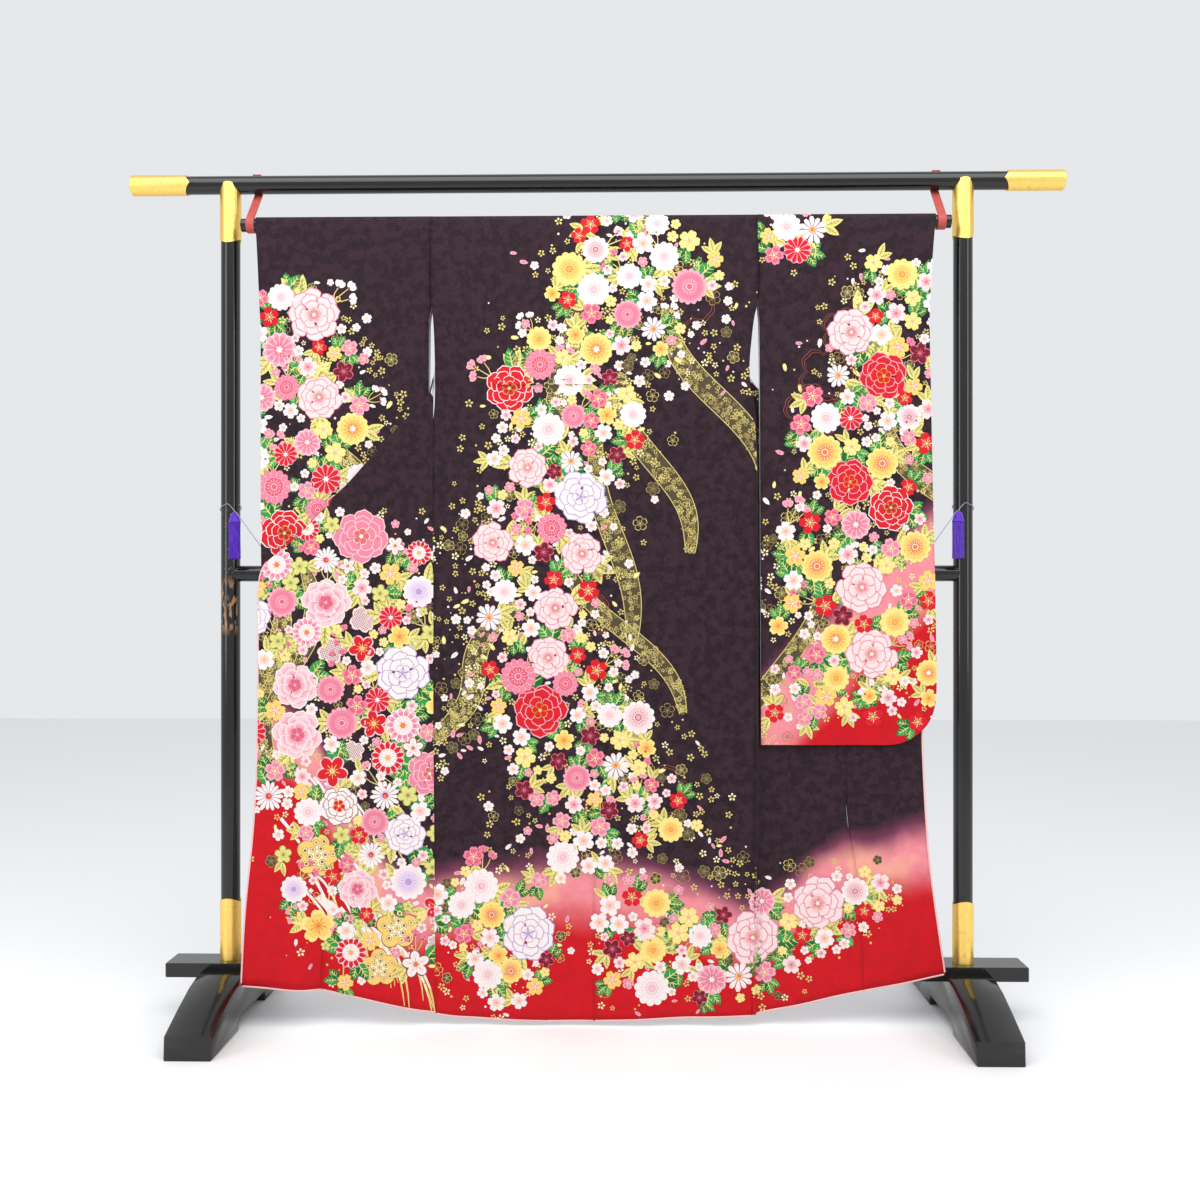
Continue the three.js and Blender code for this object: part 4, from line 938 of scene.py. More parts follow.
class Motif:
    """One mark of the pattern. It is drawn in its own units, where its radius is 1."""

    def __init__(self, pattern, x, z, size, turn, level):
        self.pattern = pattern
        self.x, self.z, self.size = x, z, size
        self.cos, self.sin = math.cos(turn), math.sin(turn)
        self.lift = CLOTH_GAP + level * LEVEL_STEP

    def shape(self, points, faces, layer=0):
        """faces are (indices, dye). The indices run anticlockwise."""
        across, up = self.size * self.cos, self.size * self.sin
        placed = [(self.x + u * across - v * up, self.z + u * up + v * across) for u, v in points]
        self.pattern.shapes.append((placed, faces, self.lift + layer * LAYER_STEP))

    def rings(self, outline, steps, dyes, layer=0, hole=0.0, centre=(0, 0), size=1.0):
        """Rings of dye inside an outline, a function of the angle, from its edge in to a hole."""
        angles = [2 * math.pi * i / steps for i in range(steps)]
        spans = math.ceil(self.size * size * (1 - hole) / len(dyes) / LONGEST_SPAN)
        dyes = [name for name in dyes for _ in range(spans)]
        points = []
        for ring in range(len(dyes) + 1):
            share = 1 - (1 - hole) * ring / len(dyes)
            points += [
                (centre[0] + r * math.cos(a), centre[1] + r * math.sin(a))
                for a, r in ((a, size * share * outline(a)) for a in angles)
            ]
        faces = []
        for ring, name in enumerate(dyes):
            start = ring * steps
            if ring == len(dyes) - 1 and hole == 0:
                points[start + steps:] = [centre]
                faces += [((start + i, start + (i + 1) % steps, start + steps), name) for i in range(steps)]
                continue
            for i in range(steps):
                here, beside = start + i, start + (i + 1) % steps
                faces.append(((here, beside, beside + steps, here + steps), name))
        self.shape(points, faces, layer)

    def disc(self, u, v, radius, name, layer=0, sides=8):
        points = [
            (u + radius * math.cos(2 * math.pi * i / sides), v + radius * math.sin(2 * math.pi * i / sides))
            for i in range(sides)
        ]
        self.shape(points, [(tuple(range(sides)), name)], layer)

    def stroke(self, path, widths, name, layer=0):
        """A line through the points of a path, with its half width at each."""
        points = []
        for i, (u, v) in enumerate(path):
            before, after = path[max(i - 1, 0)], path[min(i + 1, len(path) - 1)]
            run_u, run_v = after[0] - before[0], after[1] - before[1]
            length = math.hypot(run_u, run_v) or 1
            half_u, half_v = -run_v / length * widths[i], run_u / length * widths[i]
            points += [(u - half_u, v - half_v), (u + half_u, v + half_v)]
        faces = [((2 * i, 2 * i + 2, 2 * i + 3, 2 * i + 1), name) for i in range(len(path) - 1)]
        self.shape(points, faces, layer)

    def spoke(self, angle, start, end, half_width, name, layer=0):
        path = [(r * math.cos(angle), r * math.sin(angle)) for r in (start, (start + end) / 2, end)]
        self.stroke(path, (half_width * 0.5, half_width, half_width * 0.7), name, layer)


def scalloped(petals, depth, power=2.2, notch=0.0):
    """The outline of an open flower: 1 at the middle of each petal, less at the gaps and notches."""

    def outline(angle):
        share = angle * petals / (2 * math.pi) % 1
        off_middle = 2 * min(share, 1 - share)
        return 1 - depth * off_middle ** power - notch * max(0, 1 - off_middle / 0.3)

    return outline


# ---------------------------------------------------------------- flowers and leaves


def plum(m, dyes, gap_line, heart):
    """Five broad petals with a tinted heart, lines between the petals and dotted stamens."""
    m.rings(scalloped(5, 0.36, 2.4, 0.1), 40, dyes)
    for i in range(5):
        m.spoke(math.pi / 5 * (2 * i + 1), 0.12, 0.62, 0.028, gap_line, 1)
    for i in range(10):
        angle = math.pi / 5 * i + 0.16
        reach = 0.42 if i % 2 else 0.34
        m.spoke(angle, 0.1, reach, 0.02, heart, 2)
        m.disc(reach * math.cos(angle), reach * math.sin(angle), 0.045, heart, 3, 5)
    m.disc(0, 0, 0.1, heart, 3)


def outlined_plum(m, petal_dyes, outline, heart):
    """Five parted petals, each inside a firm outline."""
    m.rings(scalloped(5, 0.34, 2.0, 0.06), 40, [outline])
    for i in range(5):
        angle = 2 * math.pi / 5 * i
        middle = (0.53 * math.cos(angle), 0.53 * math.sin(angle))
        m.rings(leaning(angle, 0.4, 0.3), 14, petal_dyes, 1, centre=middle)
    for i in range(10):
        angle = math.pi / 5 * i
        m.spoke(angle, 0.08, 0.36 if i % 2 else 0.46, 0.022, heart, 3)
    m.disc(0, 0, 0.11, heart, 4)


def leaning(angle, long, wide):
    """An ellipse with its long radius along an angle."""

    def outline(around):
        along = around - angle
        return long * wide / math.hypot(wide * math.cos(along), long * math.sin(along))

    return outline


def cherry(m, dyes, line, heart, petals=12):
    """A full double blossom: a scalloped disc, an inner round of petals and a ring of stamens."""
    m.rings(scalloped(petals, 0.13, 1.8), petals * 4, dyes)
    for i in range(petals):
        m.spoke(2 * math.pi / petals * (i + 0.5), 0.66, 0.86, 0.016, line, 1)
    inner = scalloped(petals - 2, 0.14, 1.8)
    m.rings(lambda a: 0.6 * inner(a), (petals - 2) * 4, [line], 1, hole=0.94)
    for i in range(14):
        angle = 2 * math.pi / 14 * i
        m.spoke(angle, 0.26, 0.42, 0.018, heart, 2)
    m.disc(0, 0, 0.2, heart, 2, 12)
    m.disc(0, 0, 0.15, dyes[-1], 3, 12)


def mum(m, petals, petal_dyes, outline, heart, inner_ring=None):
    """A chrysanthemum: long parted petals on an outline, perhaps with an inner round of short ones."""
    m.rings(scalloped(petals, 0.1, 1.6), petals * 4, [outline])
    half_turn = math.pi / petals
    for i in range(petals):
        long_petal(m, 2 * half_turn * i, 0.14, 0.95, half_turn * 0.82, petal_dyes, 1)
    if inner_ring:
        m.rings(scalloped(petals, 0.12, 1.6), petals * 4, [outline], 2, size=0.56)
        for i in range(petals):
            long_petal(m, 2 * half_turn * (i + 0.5), 0.1, 0.53, half_turn * 0.8, [inner_ring], 3)
    m.disc(0, 0, 0.16, heart, 4, 10)
    for i in range(6):
        m.disc(0.2 * math.cos(i * 1.05), 0.2 * math.sin(i * 1.05), 0.035, heart, 4, 5)


def long_petal(m, angle, start, end, spread, dyes, layer):
    """A petal that widens outwards and ends round, its dyes from the heart out."""
    rows = 4
    points = []
    for row in range(rows + 1):
        share = row / rows
        r = start + (end - start) * share
        half = r * math.sin(spread) * (1 if row < rows else 0.42)
        points += [
            (r * math.cos(angle) + half * math.sin(angle), r * math.sin(angle) - half * math.cos(angle)),
            (r * math.cos(angle) - half * math.sin(angle), r * math.sin(angle) + half * math.cos(angle)),
        ]
    faces = []
    for row in range(rows):
        name = dyes[min(row * len(dyes) // rows, len(dyes) - 1)]
        faces.append(((2 * row, 2 * row + 2, 2 * row + 3, 2 * row + 1), name))
    m.shape(points, faces, layer)


def daisy(m, petal_dyes, heart, petals=11):
    """Loose notched petals round a small domed heart."""
    for i in range(petals):
        angle = 2 * math.pi / petals * i
        long_petal(m, angle, 0.1, 0.84 + 0.13 * (i % 3) / 2, math.pi / petals * 0.86, petal_dyes, i % 2)
    m.disc(0, 0, 0.19, heart, 3, 10)
    m.disc(0.03, 0.03, 0.11, "orange", 4, 8)


def peony(m, dyes, outline, core, core_outline="gold"):
    """Rounds of broad ruffled petals that close over a heart, each with its outline."""
    dice = m.pattern.dice
    rounds = ((8, 1.0, 0.5, 0.46), (7, 0.78, 0.36, 0.5), (5, 0.56, 0.2, 0.62))
    layer = 0
    for count, reach, root, spread in rounds:
        for i in range(count):
            angle = 2 * math.pi / count * i + dice.uniform(-0.16, 0.16) + reach
            edge = reach * dice.uniform(0.9, 1.0)
            ruffled_petal(m, angle, root, edge, spread, dyes, outline, layer + i % 3)
        layer += 3
    for i in range(5):
        angle = 2 * math.pi / 5 * i + 0.3
        ruffled_petal(m, angle, 0.06, 0.3, 0.56, core, core_outline, layer + i % 2)
    m.disc(0, 0, 0.07, core_outline, layer + 3)


def ruffled_petal(m, angle, root, reach, spread, dyes, outline, layer):
    """A fan between two radii with a waved edge: a firm outline round its dyes, from the edge in."""
    across = (-1, -0.9, -0.6, -0.3, 0, 0.3, 0.6, 0.9, 1)
    shares = [0, 0.1, *(0.1 + 0.9 * (i + 1) / len(dyes) for i in range(len(dyes)))]
    points = []
    for share in shares:
        for off_middle in across:
            edge = reach * (1 - 0.2 * abs(off_middle) ** 2.6 + 0.03 * math.cos(2.5 * math.pi * off_middle))
            r = edge + (root - edge) * share
            turn = angle + off_middle * spread
            points.append((r * math.cos(turn), r * math.sin(turn)))
    faces = []
    for band, name in enumerate((outline, *dyes)):
        for s in range(len(across) - 1):
            here = band * len(across) + s
            at_side = s in (0, len(across) - 2)
            corners = (here, here + 1, here + len(across) + 1, here + len(across))
            faces.append((corners, outline if at_side else name))
    m.shape(points, faces, layer)


def leaf(m, angle, length, width, light, dark, vein, layer=0):
    """A pointed leaf from the motif's middle outwards, one half darker, with a few veins."""
    rows = 6
    cos, sin = math.cos(angle), math.sin(angle)
    left, middle, right = [], [], []
    for row in range(rows + 1):
        share = row / rows
        along = length * share
        half = width * math.sin(math.pi * share ** 0.8) ** 0.8 if 0 < row < rows else 0.0
        middle.append((along * cos, along * sin))
        left.append((along * cos - half * sin, along * sin + half * cos))
        right.append((along * cos + half * sin, along * sin - half * cos))
    points = left + middle + right
    faces = []
    for row in range(rows):
        l, c, r = row, rows + 1 + row, 2 * (rows + 1) + row
        light_half, dark_half = (l, c, c + 1, l + 1), (c, r, r + 1, c + 1)
        if row == 0:
            light_half, dark_half = (c, c + 1, l + 1), (c, r + 1, c + 1)
        elif row == rows - 1:
            light_half, dark_half = (l, c, c + 1), (c, r, c + 1)
        faces.append((light_half, light))
        faces.append((dark_half, dark))
    m.shape(points, faces, layer)
    m.stroke([middle[1], middle[3], middle[5]], (0.03, 0.025, 0.01), vein, layer + 1)
    for row in (2, 3, 4):
        for side in (left, right):
            tip = [(side[row + 1][k] * 0.8 + middle[row + 1][k] * 0.2) for k in (0, 1)]
            m.stroke([middle[row], tip], (0.02, 0.008), vein, layer + 1)


def leaf_group(m, kind, count):
    """Leaves of one kind, fanned out from one root."""
    dyes = {"green": ("leaf", "deep_leaf", "lime"), "pale": ("yellow", "lime", "old_gold")}[kind]
    width = 0.3 if kind == "green" else 0.2
    for i in range(count):
        angle = (i - (count - 1) / 2) * 0.85
        leaf(m, angle, 1.0 - 0.12 * abs(i - 1), width, *dyes, layer=2 * (i % 2))


def bud_spray(m, petal_dyes):
    """Three thin stems with half open buds at their ends."""
    for i, angle in enumerate((-0.5, 0.02, 0.5)):
        reach = (0.82, 1.0, 0.74)[i]
        tip = (reach * math.cos(angle), reach * math.sin(angle))
        bend = (tip[0] * 0.5, tip[1] * 0.5 + 0.06 * (i - 1))
        m.stroke([(0, 0), bend, tip], (0.028, 0.022, 0.02), "gold")
        half_flower(m, tip, angle, 0.3, petal_dyes, 1)


def half_flower(m, base, angle, size, dyes, layer):
    """A bud about to open: three petals that rise from one base."""
    for k, lean in enumerate((-0.62, 0.62, 0)):
        turn = angle + lean
        middle = (base[0] + 0.6 * size * math.cos(turn), base[1] + 0.6 * size * math.sin(turn))
        m.rings(leaning(turn, size * 0.62, size * 0.42), 10, dyes, layer + k, centre=middle)
    m.disc(base[0], base[1], size * 0.2, "bronze", layer + 3, 6)


PETAL_EDGE = (
    (-1, 0), (-0.35, -0.42), (0.45, -0.44), (0.95, -0.2), (0.8, 0), (0.95, 0.2), (0.45, 0.44),
    (-0.35, 0.42),
)


def loose_petal(m, dyes):
    """A single fallen petal, pointed at its root and notched at its tip."""
    for layer, (share, name) in enumerate(zip((1.0, 0.55), dyes)):
        edge = [(u * share, v * share) for u, v in PETAL_EDGE]
        m.shape(edge, [(tuple(range(len(edge))), name)], layer)


def gold_blossom(m, name):
    """A tiny five-petalled blossom in gold leaf."""
    for i in range(5):
        angle = 2 * math.pi / 5 * i
        turned_points = [
            (r * math.cos(angle + lean), r * math.sin(angle + lean))
            for r, lean in ((0.22, 0), (0.72, -0.42), (1.0, -0.14), (1.0, 0.14), (0.72, 0.42))
        ]
        m.shape(turned_points, [((0, 1, 2, 3, 4), name)])


def line_blossom(m, line, ground):
    """A blossom in outline, with lines between its petals and perhaps a dyed ground."""
    width = 0.1
    outline = scalloped(5, 0.34, 2.2, 0.08)
    if ground:
        m.rings(outline, 30, [ground])
    m.rings(outline, 40, [line], 1, hole=1 - width)
    for i in range(5):
        m.spoke(math.pi / 5 * (2 * i + 1), 0.1, 0.62, width * 0.35, line, 1)
        m.spoke(math.pi / 5 * 2 * i, 0.14, 0.46, width * 0.25, line, 1)
    m.disc(0, 0, 0.12, line, 2, 6)


def gold_curl(m, name):
    """A small open scroll."""
    spiral = [(1 - 0.09 * i, 0.75 * i) for i in range(10)]
    path = [(r * math.cos(angle), r * math.sin(angle)) for r, angle in spiral]
    m.stroke(path, [0.12] * 10, name)


FLOWERS = {
    "white_plum": (plum, (["white", "white", "milk", "blush"], "blush", "amber")),
    "blush_plum": (plum, (["milk", "milk", "blush", "pale_pink"], "pale_pink", "rose")),
    "pink_plum": (plum, (["pale_pink", "pink", "pink", "rose"], "blush", "cream")),
    "rose_plum": (plum, (["pink", "rose", "rose", "scarlet"], "blush", "cream")),
    "yellow_plum": (plum, (["yellow", "yellow", "cream", "yellow"], "saffron", "amber")),
    "amber_plum": (plum, (["yellow", "saffron", "saffron", "amber"], "amber", "orange")),
    "orange_plum": (plum, (["saffron", "saffron", "amber", "orange"], "cream", "white")),
    "scarlet_plum": (plum, (["scarlet", "scarlet", "scarlet", "crimson"], "pale_pink", "yellow")),
    "maroon_plum": (outlined_plum, (["maroon"], "rose", "rose")),
    "outlined_plum": (outlined_plum, (["white", "milk"], "bronze", "orange")),
    "red_outlined_plum": (outlined_plum, (["scarlet", "scarlet"], "blush", "saffron")),
    "lime_plum": (outlined_plum, (["lime"], "old_gold", "old_gold")),
    "white_cherry": (cherry, (["white", "white", "white", "milk", "blush"], "blush", "pale_pink")),
    "blush_cherry": (cherry, (["white", "milk", "blush", "blush", "pale_pink"], "pale_pink", "bronze")),
    "pink_cherry": (cherry, (["pale_pink", "pink", "pink", "pink", "rose"], "rose", "blush", 16)),
    "rose_cherry": (cherry, (["pink", "pink", "rose", "rose", "rose"], "blush", "blush", 14)),
    "lavender_cherry": (cherry, (["white", "milk", "lavender", "lavender", "lilac"], "lavender", "lilac")),
    "yellow_cherry": (cherry, (["yellow", "yellow", "saffron", "saffron", "amber"], "saffron", "orange")),
    "orange_cherry": (cherry, (["yellow", "saffron", "amber", "orange", "orange"], "yellow", "white")),
    "red_mum": (mum, (12, ["scarlet", "scarlet"], "pale_pink", "white")),
    "pink_mum": (mum, (12, ["rose", "pink", "pink", "pale_pink"], "blush", "white")),
    "ringed_mum": (mum, (14, ["scarlet", "scarlet"], "blush", "amber", "white")),
    "pink_ringed_mum": (mum, (14, ["pink", "pink", "pale_pink"], "white", "orange", "milk")),
    "yellow_mum": (mum, (14, ["orange", "amber", "saffron", "yellow"], "yellow", "white")),
    "daisy": (daisy, (["blush", "white", "white", "milk"], "amber")),
    "red_eyed_daisy": (daisy, (["lavender", "white", "white", "white"], "scarlet", 15)),
    "red_peony": (peony, (["scarlet", "scarlet", "crimson"], "milk", ["scarlet", "crimson"])),
    "scarlet_peony": (peony, (["scarlet", "scarlet", "crimson"], "pale_pink", ["scarlet"], "amber")),
    "lavender_peony": (
        peony, (["white", "white", "milk", "lavender"], "lilac", ["white", "lavender"], "lilac"),
    ),
    "blush_peony": (peony, (["milk", "milk", "blush", "pale_pink"], "pink", ["pale_pink", "pink"], "cream")),
    "pink_peony": (peony, (["blush", "pale_pink", "pink"], "white", ["rose", "rose"], "pale_pink")),
    "rose_peony": (peony, (["pink", "pink", "rose"], "blush", ["rose", "rose"], "cream")),
    "outlined_peony": (
        peony, (["white", "white", "milk", "blush"], "bronze", ["scarlet", "scarlet"], "saffron"),
    ),
    "amber_peony": (peony, (["yellow", "saffron", "saffron"], "amber", ["amber", "orange"], "yellow")),
}
FLOWER_LEVEL = 3
LEAF_LEVEL = 2
GOLD_LEVEL = 1
LEAFED_RADIUS = 14  # flowers larger than this have leaves
BUDDED_RADIUS = 20  # and some of those larger than this have buds
BUD_CHANCE = 0.3


def grow(pattern, kind, x, z, radius):
    """One flower of the table, with leaves or buds showing from under most of them."""
    draw, values = FLOWERS[kind]
    draw(pattern.motif(x, z, radius, least=FLOWER_LEVEL), *values)
    dice = pattern.dice
    for _ in range(dice.choice((1, 1, 2, 2)) if radius > LEAFED_RADIUS else 0):
        angle = dice.uniform(0, 2 * math.pi)
        root = (x + 0.75 * radius * math.cos(angle), z + 0.75 * radius * math.sin(angle))
        leaves = pattern.motif(*root, dice.uniform(0.45, 0.7) * radius + 20, angle, LEAF_LEVEL, solid=False)
        leaf_group(leaves, dice.choice(("green", "pale")), dice.choice((2, 3, 3)))
    if radius > BUDDED_RADIUS and dice.random() < BUD_CHANCE:
        angle = dice.uniform(0.3, 2.8)
        root = (x + 0.8 * radius * math.cos(angle), z + 0.8 * radius * math.sin(angle))
        buds = pattern.motif(*root, dice.uniform(32, 44), angle, LEAF_LEVEL, solid=False)
        bud_spray(buds, dice.choice((["white", "milk"], ["pink", "rose"], ["pale_pink", "pink"])))


def along(path, share, across):
    """A point on a run of (x, height, half width): share of its length on, across from -1 to 1."""
    lengths = [math.hypot(b[0] - a[0], b[1] - a[1]) for a, b in zip(path, path[1:])]
    distance = share * sum(lengths)
    for a, b, length in zip(path, path[1:], lengths):
        if distance <= length or b is path[-1]:
            t = min(distance / length, 1)
            x, z, half = [a[k] + (b[k] - a[k]) * t for k in range(3)]
            side_x, side_z = -(b[1] - a[1]) / length, (b[0] - a[0]) / length
            return x + side_x * half * across, z + side_z * half * across
        distance -= length


def fill(pattern, path, kinds, radii, tries, crowding):
    """Flowers of one size in what room the larger ones leave along a run."""
    dice = pattern.dice
    for _ in range(tries):
        x, z = along(path, dice.random(), max(-1.1, min(1.1, dice.gauss(0, 0.55))))
        radius = dice.uniform(*radii)
        if pattern.room(x, z, radius, crowding):
            grow(pattern, dice.choice(kinds), x, z, radius)


# A draw of a drift's mark below each of these gives a blossom, a dot, a loose petal or an outlined
# blossom, and one above them all gives a small white plum.
BLOSSOM_BELOW, DOT_BELOW, PETAL_BELOW, OUTLINE_BELOW = 0.42, 0.66, 0.82, 0.92


def gold_drift(pattern, path, count):
    """Tiny blossoms, dots, outlined blossoms and loose petals in gold, white and pink."""
    dice = pattern.dice
    for _ in range(count):
        x, z = along(path, dice.random(), max(-1.7, min(1.7, dice.gauss(0, 0.8))))
        pick = dice.random()
        if not pattern.room(x, z, 4, 0.9):
            continue
        if pick < BLOSSOM_BELOW:
            m = pattern.motif(x, z, dice.uniform(4.8, 8.0), least=GOLD_LEVEL)
            gold_blossom(m, "gold" if dice.random() < 0.8 else "cream")
        elif pick < DOT_BELOW:
            m = pattern.motif(x, z, dice.uniform(1.2, 2.6), least=GOLD_LEVEL)
            m.disc(0, 0, 1, dice.choice(("gold", "gold", "white")), 0, 6)
        elif pick < PETAL_BELOW:
            m = pattern.motif(x, z, dice.uniform(6, 9.5), least=GOLD_LEVEL)
            loose_petal(m, dice.choice((["white", "milk"], ["pale_pink", "pink"], ["yellow", "cream"])))
        elif pick < OUTLINE_BELOW:
            m = pattern.motif(x, z, dice.uniform(9, 16), least=GOLD_LEVEL)
            line_blossom(m, dice.choice(("old_gold", "gold")), dice.choice((None, "lace")))
        else:
            m = pattern.motif(x, z, dice.uniform(7, 11), least=GOLD_LEVEL)
            plum(m, ["white", "white"], "blush", "amber")


RIBBON_EDGE = 0.8  # half width of a ribbon's gold edge
LACE_SPACING = 60  # square millimetres of lace for each scroll or blossom in it


def lace_ribbon(pattern, curve):
    """A long ribbon of gold lace: a dark ground, firm edges, and scrolls and blossoms between them."""
    m = pattern.motif(0, 0, 1, 0, 0, solid=False)
    middle = [(x, z) for x, z, _ in curve]
    halves = [max(half, RIBBON_EDGE) for _, _, half in curve]
    columns = math.ceil(2 * max(halves) / LONGEST_SPAN)
    rows = []
    for i, (x, z) in enumerate(middle):
        before, after = middle[max(i - 1, 0)], middle[min(i + 1, len(middle) - 1)]
        run_x, run_z = after[0] - before[0], after[1] - before[1]
        length = math.hypot(run_x, run_z)
        offsets = [halves[i] * (2 * k / columns - 1) for k in range(columns + 1)]
        rows.append([(x - run_z / length * off, z + run_x / length * off) for off in offsets])
    faces = []
    for i in range(len(middle) - 1):
        for k in range(columns):
            here = i * (columns + 1) + k
            faces.append(((here, here + columns + 1, here + columns + 2, here + 1), "lace"))
    m.shape([point for row in rows for point in row], faces)
    for side in (0, -1):
        m.stroke([row[side] for row in rows], [RIBBON_EDGE] * len(rows), "gold", 1)
    dice = pattern.dice
    area = sum(
        math.hypot(b[0] - a[0], b[1] - a[1]) * (a[2] + b[2]) for a, b in zip(curve, curve[1:])
    )
    for _ in range(int(area / LACE_SPACING)):
        x, z = along(curve, dice.random(), dice.uniform(-0.86, 0.86))
        mark = pattern.motif(x, z, dice.uniform(3.4, 6.2), least=0, solid=False)
        mark.lift += 2 * LAYER_STEP
        if dice.random() < 0.45:
            gold_blossom(mark, dice.choice(("gold", "gold", "old_gold")))
        else:
            gold_curl(mark, dice.choice(("gold", "gold", "old_gold")))


def check_patch(pattern, x, z, radius, turn):
    """A torn patch of small woven checks."""
    m = pattern.motif(x, z, radius, turn, 2)
    outline = scalloped(4, 0.3, 1.6, 0.14)
    m.rings(outline, 32, ["bronze"])
    m.rings(lambda a: 0.96 * outline(a), 32, ["milk"], 1)
    pitch = 3.4 / radius
    reach = int(1 / pitch)
    for i in range(-reach, reach + 1):
        for k in range(-reach, reach + 1):
            u, v = i * pitch, k * pitch
            if math.hypot(u, v) < 0.9 * outline(math.atan2(v, u)) - pitch * 0.4:
                long, wide = (0.42, 0.2) if (i + k) % 2 else (0.2, 0.42)
                signs = ((-1, -1), (1, -1), (1, 1), (-1, 1))
                corners = [(u + a * long * pitch, v + b * wide * pitch) for a, b in signs]
                m.shape(corners, [((0, 1, 2, 3), "maroon")], 2)


def tortoiseshell_patch(pattern, x, z, radius, turn):
    """A fan of gold edged hexagons on a pale ground."""
    m = pattern.motif(x, z, radius, turn, 2)
    outline = scalloped(5, 0.28, 2.0, 0.0)
    m.rings(outline, 40, ["bronze"])
    m.rings(lambda a: 0.95 * outline(a), 40, ["saffron", "cream"], 1)
    pitch = 0.34
    for i in range(-3, 4):
        for k in range(-3, 4):
            u, v = (i + 0.5 * (k % 2)) * pitch, k * pitch * 0.87
            if math.hypot(u, v) < 0.8 * outline(math.atan2(v, u)) - 0.08:
                m.disc(u, v, 0.15, "old_gold", 2, 6)
                m.disc(u, v, 0.115, "cream", 3, 6)
                m.disc(u, v, 0.07, "bronze" if (i + k) % 2 else "orange", 4, 6)


def strand_sheaf(pattern, x, z, count):
    """Long strands that fall away to the right from a slanting row, white at the root and gold at the tip."""
    dice = pattern.dice
    for i in range(count):
        length, turn = dice.uniform(110, 170), dice.uniform(-1.25, -0.95)
        m = pattern.motif(x + 20 * i, z - 12 * i, length, turn, 0, solid=False)
        bow = dice.uniform(0.06, 0.16)
        path = [(k / 6, bow * math.sin(math.pi * k / 6)) for k in range(7)]
        widths = [0.016 * (1 - k / 6) ** 0.7 + 0.005 for k in range(7)]
        m.stroke(path[:4], widths[:4], "white")
        m.stroke(path[3:5], widths[3:5], "cream")
        m.stroke(path[4:], widths[4:], "gold")


def great_outline(pattern, x, z, radius):
    """A large blossom drawn with two thin bronze lines."""
    m = pattern.motif(x, z, radius, least=2, solid=False)
    outline = scalloped(5, 0.3, 2.2, 0.06)
    for size in (1.0, 0.9):
        m.rings(outline, 60, ["bronze"], 0, hole=1 - 1.3 / radius / size, size=size)


# ---------------------------------------------------------------- layout of the pattern

# The flowers of each style: the great, the middling, the small and the tiny ones.
COMMON_SMALL = (
    "white_plum", "white_plum", "blush_plum", "pink_plum", "rose_plum", "yellow_plum", "scarlet_plum",
)
TINY = ("white_plum", "white_plum", "pink_plum", "yellow_plum", "blush_plum")
CLASSIC = {
    "great": ("lavender_peony", "red_peony", "scarlet_peony", "blush_peony", "lavender_peony"),
    "middle": (
        "white_cherry", "white_cherry", "white_cherry", "pink_cherry", "rose_cherry", "yellow_cherry",
        "orange_cherry", "blush_cherry", "pink_mum", "red_mum", "yellow_mum", "daisy",
    ),
    "small": (*COMMON_SMALL, "orange_plum", "amber_plum", "maroon_plum"),
    "tiny": TINY,
}
OUTLINED = {
    "great": ("outlined_peony", "rose_peony", "pink_peony", "amber_peony", "lavender_peony"),
    "middle": (
        "ringed_mum", "pink_ringed_mum", "outlined_plum", "red_outlined_plum", "red_eyed_daisy",
        "white_cherry", "pink_cherry", "amber_plum", "lavender_cherry", "red_mum",
    ),
    "small": (*COMMON_SMALL, "lime_plum", "lime_plum", "orange_plum", "outlined_plum"),
    "tiny": (*TINY, "lime_plum"),
}
RADII = {"great": (40, 58), "middle": (24, 36), "small": (16, 23), "tiny": (9, 13)}
CROWDING = {"great": 0.95, "middle": 0.84, "small": 0.82, "tiny": 0.86}

# A mass of blossom: the stretch of cloth, a broad run of (x, height, half width), the tries at a great,
# middling, small and tiny flower, and the marks of gold among them.
Mass = namedtuple("Mass", "stretch run tries marks")
MASSES = (
    Mass("body", [(150, 1580, 130), (0, 1370, 125), (-80, 1050, 115), (-110, 750, 95), (50, 330, 150)],
         (11, 75, 330, 620), 1700),
    Mass("body", [(-300, 270, 80), (-110, 80, 80)], (2, 18, 90, 140), 300),
    Mass("body", [(0, 200, 90), (250, 150, 90), (430, 210, 70), (590, 280, 30)], (4, 32, 140, 230), 600),
    Mass("left_sleeve", [(-620, 1450, 50), (-540, 1250, 105), (-590, 950, 90)], (4, 30, 130, 220), 650),
    Mass("overlay", [(-500, 1010, 120), (-490, 700, 190), (-440, 340, 150), (-370, 110, 105)],
         (24, 220, 700, 950), 800),
    Mass("right_sleeve", [(600, 1500, 60), (520, 1150, 120), (500, 600, 140)], (8, 64, 290, 500), 1100),
    Mass("right_sleeve", [(340, 1570, 50), (430, 1550, 60)], (0, 10, 40, 40), 90),
    Mass("left_sleeve_far", [(-420, 1450, 60), (-500, 1150, 100), (-480, 620, 130)],
         (7, 60, 110, 80), 200),
    Mass("right_sleeve_far", [(420, 1400, 60), (510, 1050, 100), (480, 620, 130)],
         (7, 60, 110, 80), 200),
    Mass("fronts_far", [(-270, 1540, 40), (-180, 1440, 60)], (1, 14, 40, 30), 60),
    Mass("fronts_far", [(270, 1540, 40), (190, 1420, 60)], (1, 14, 40, 30), 60),
)

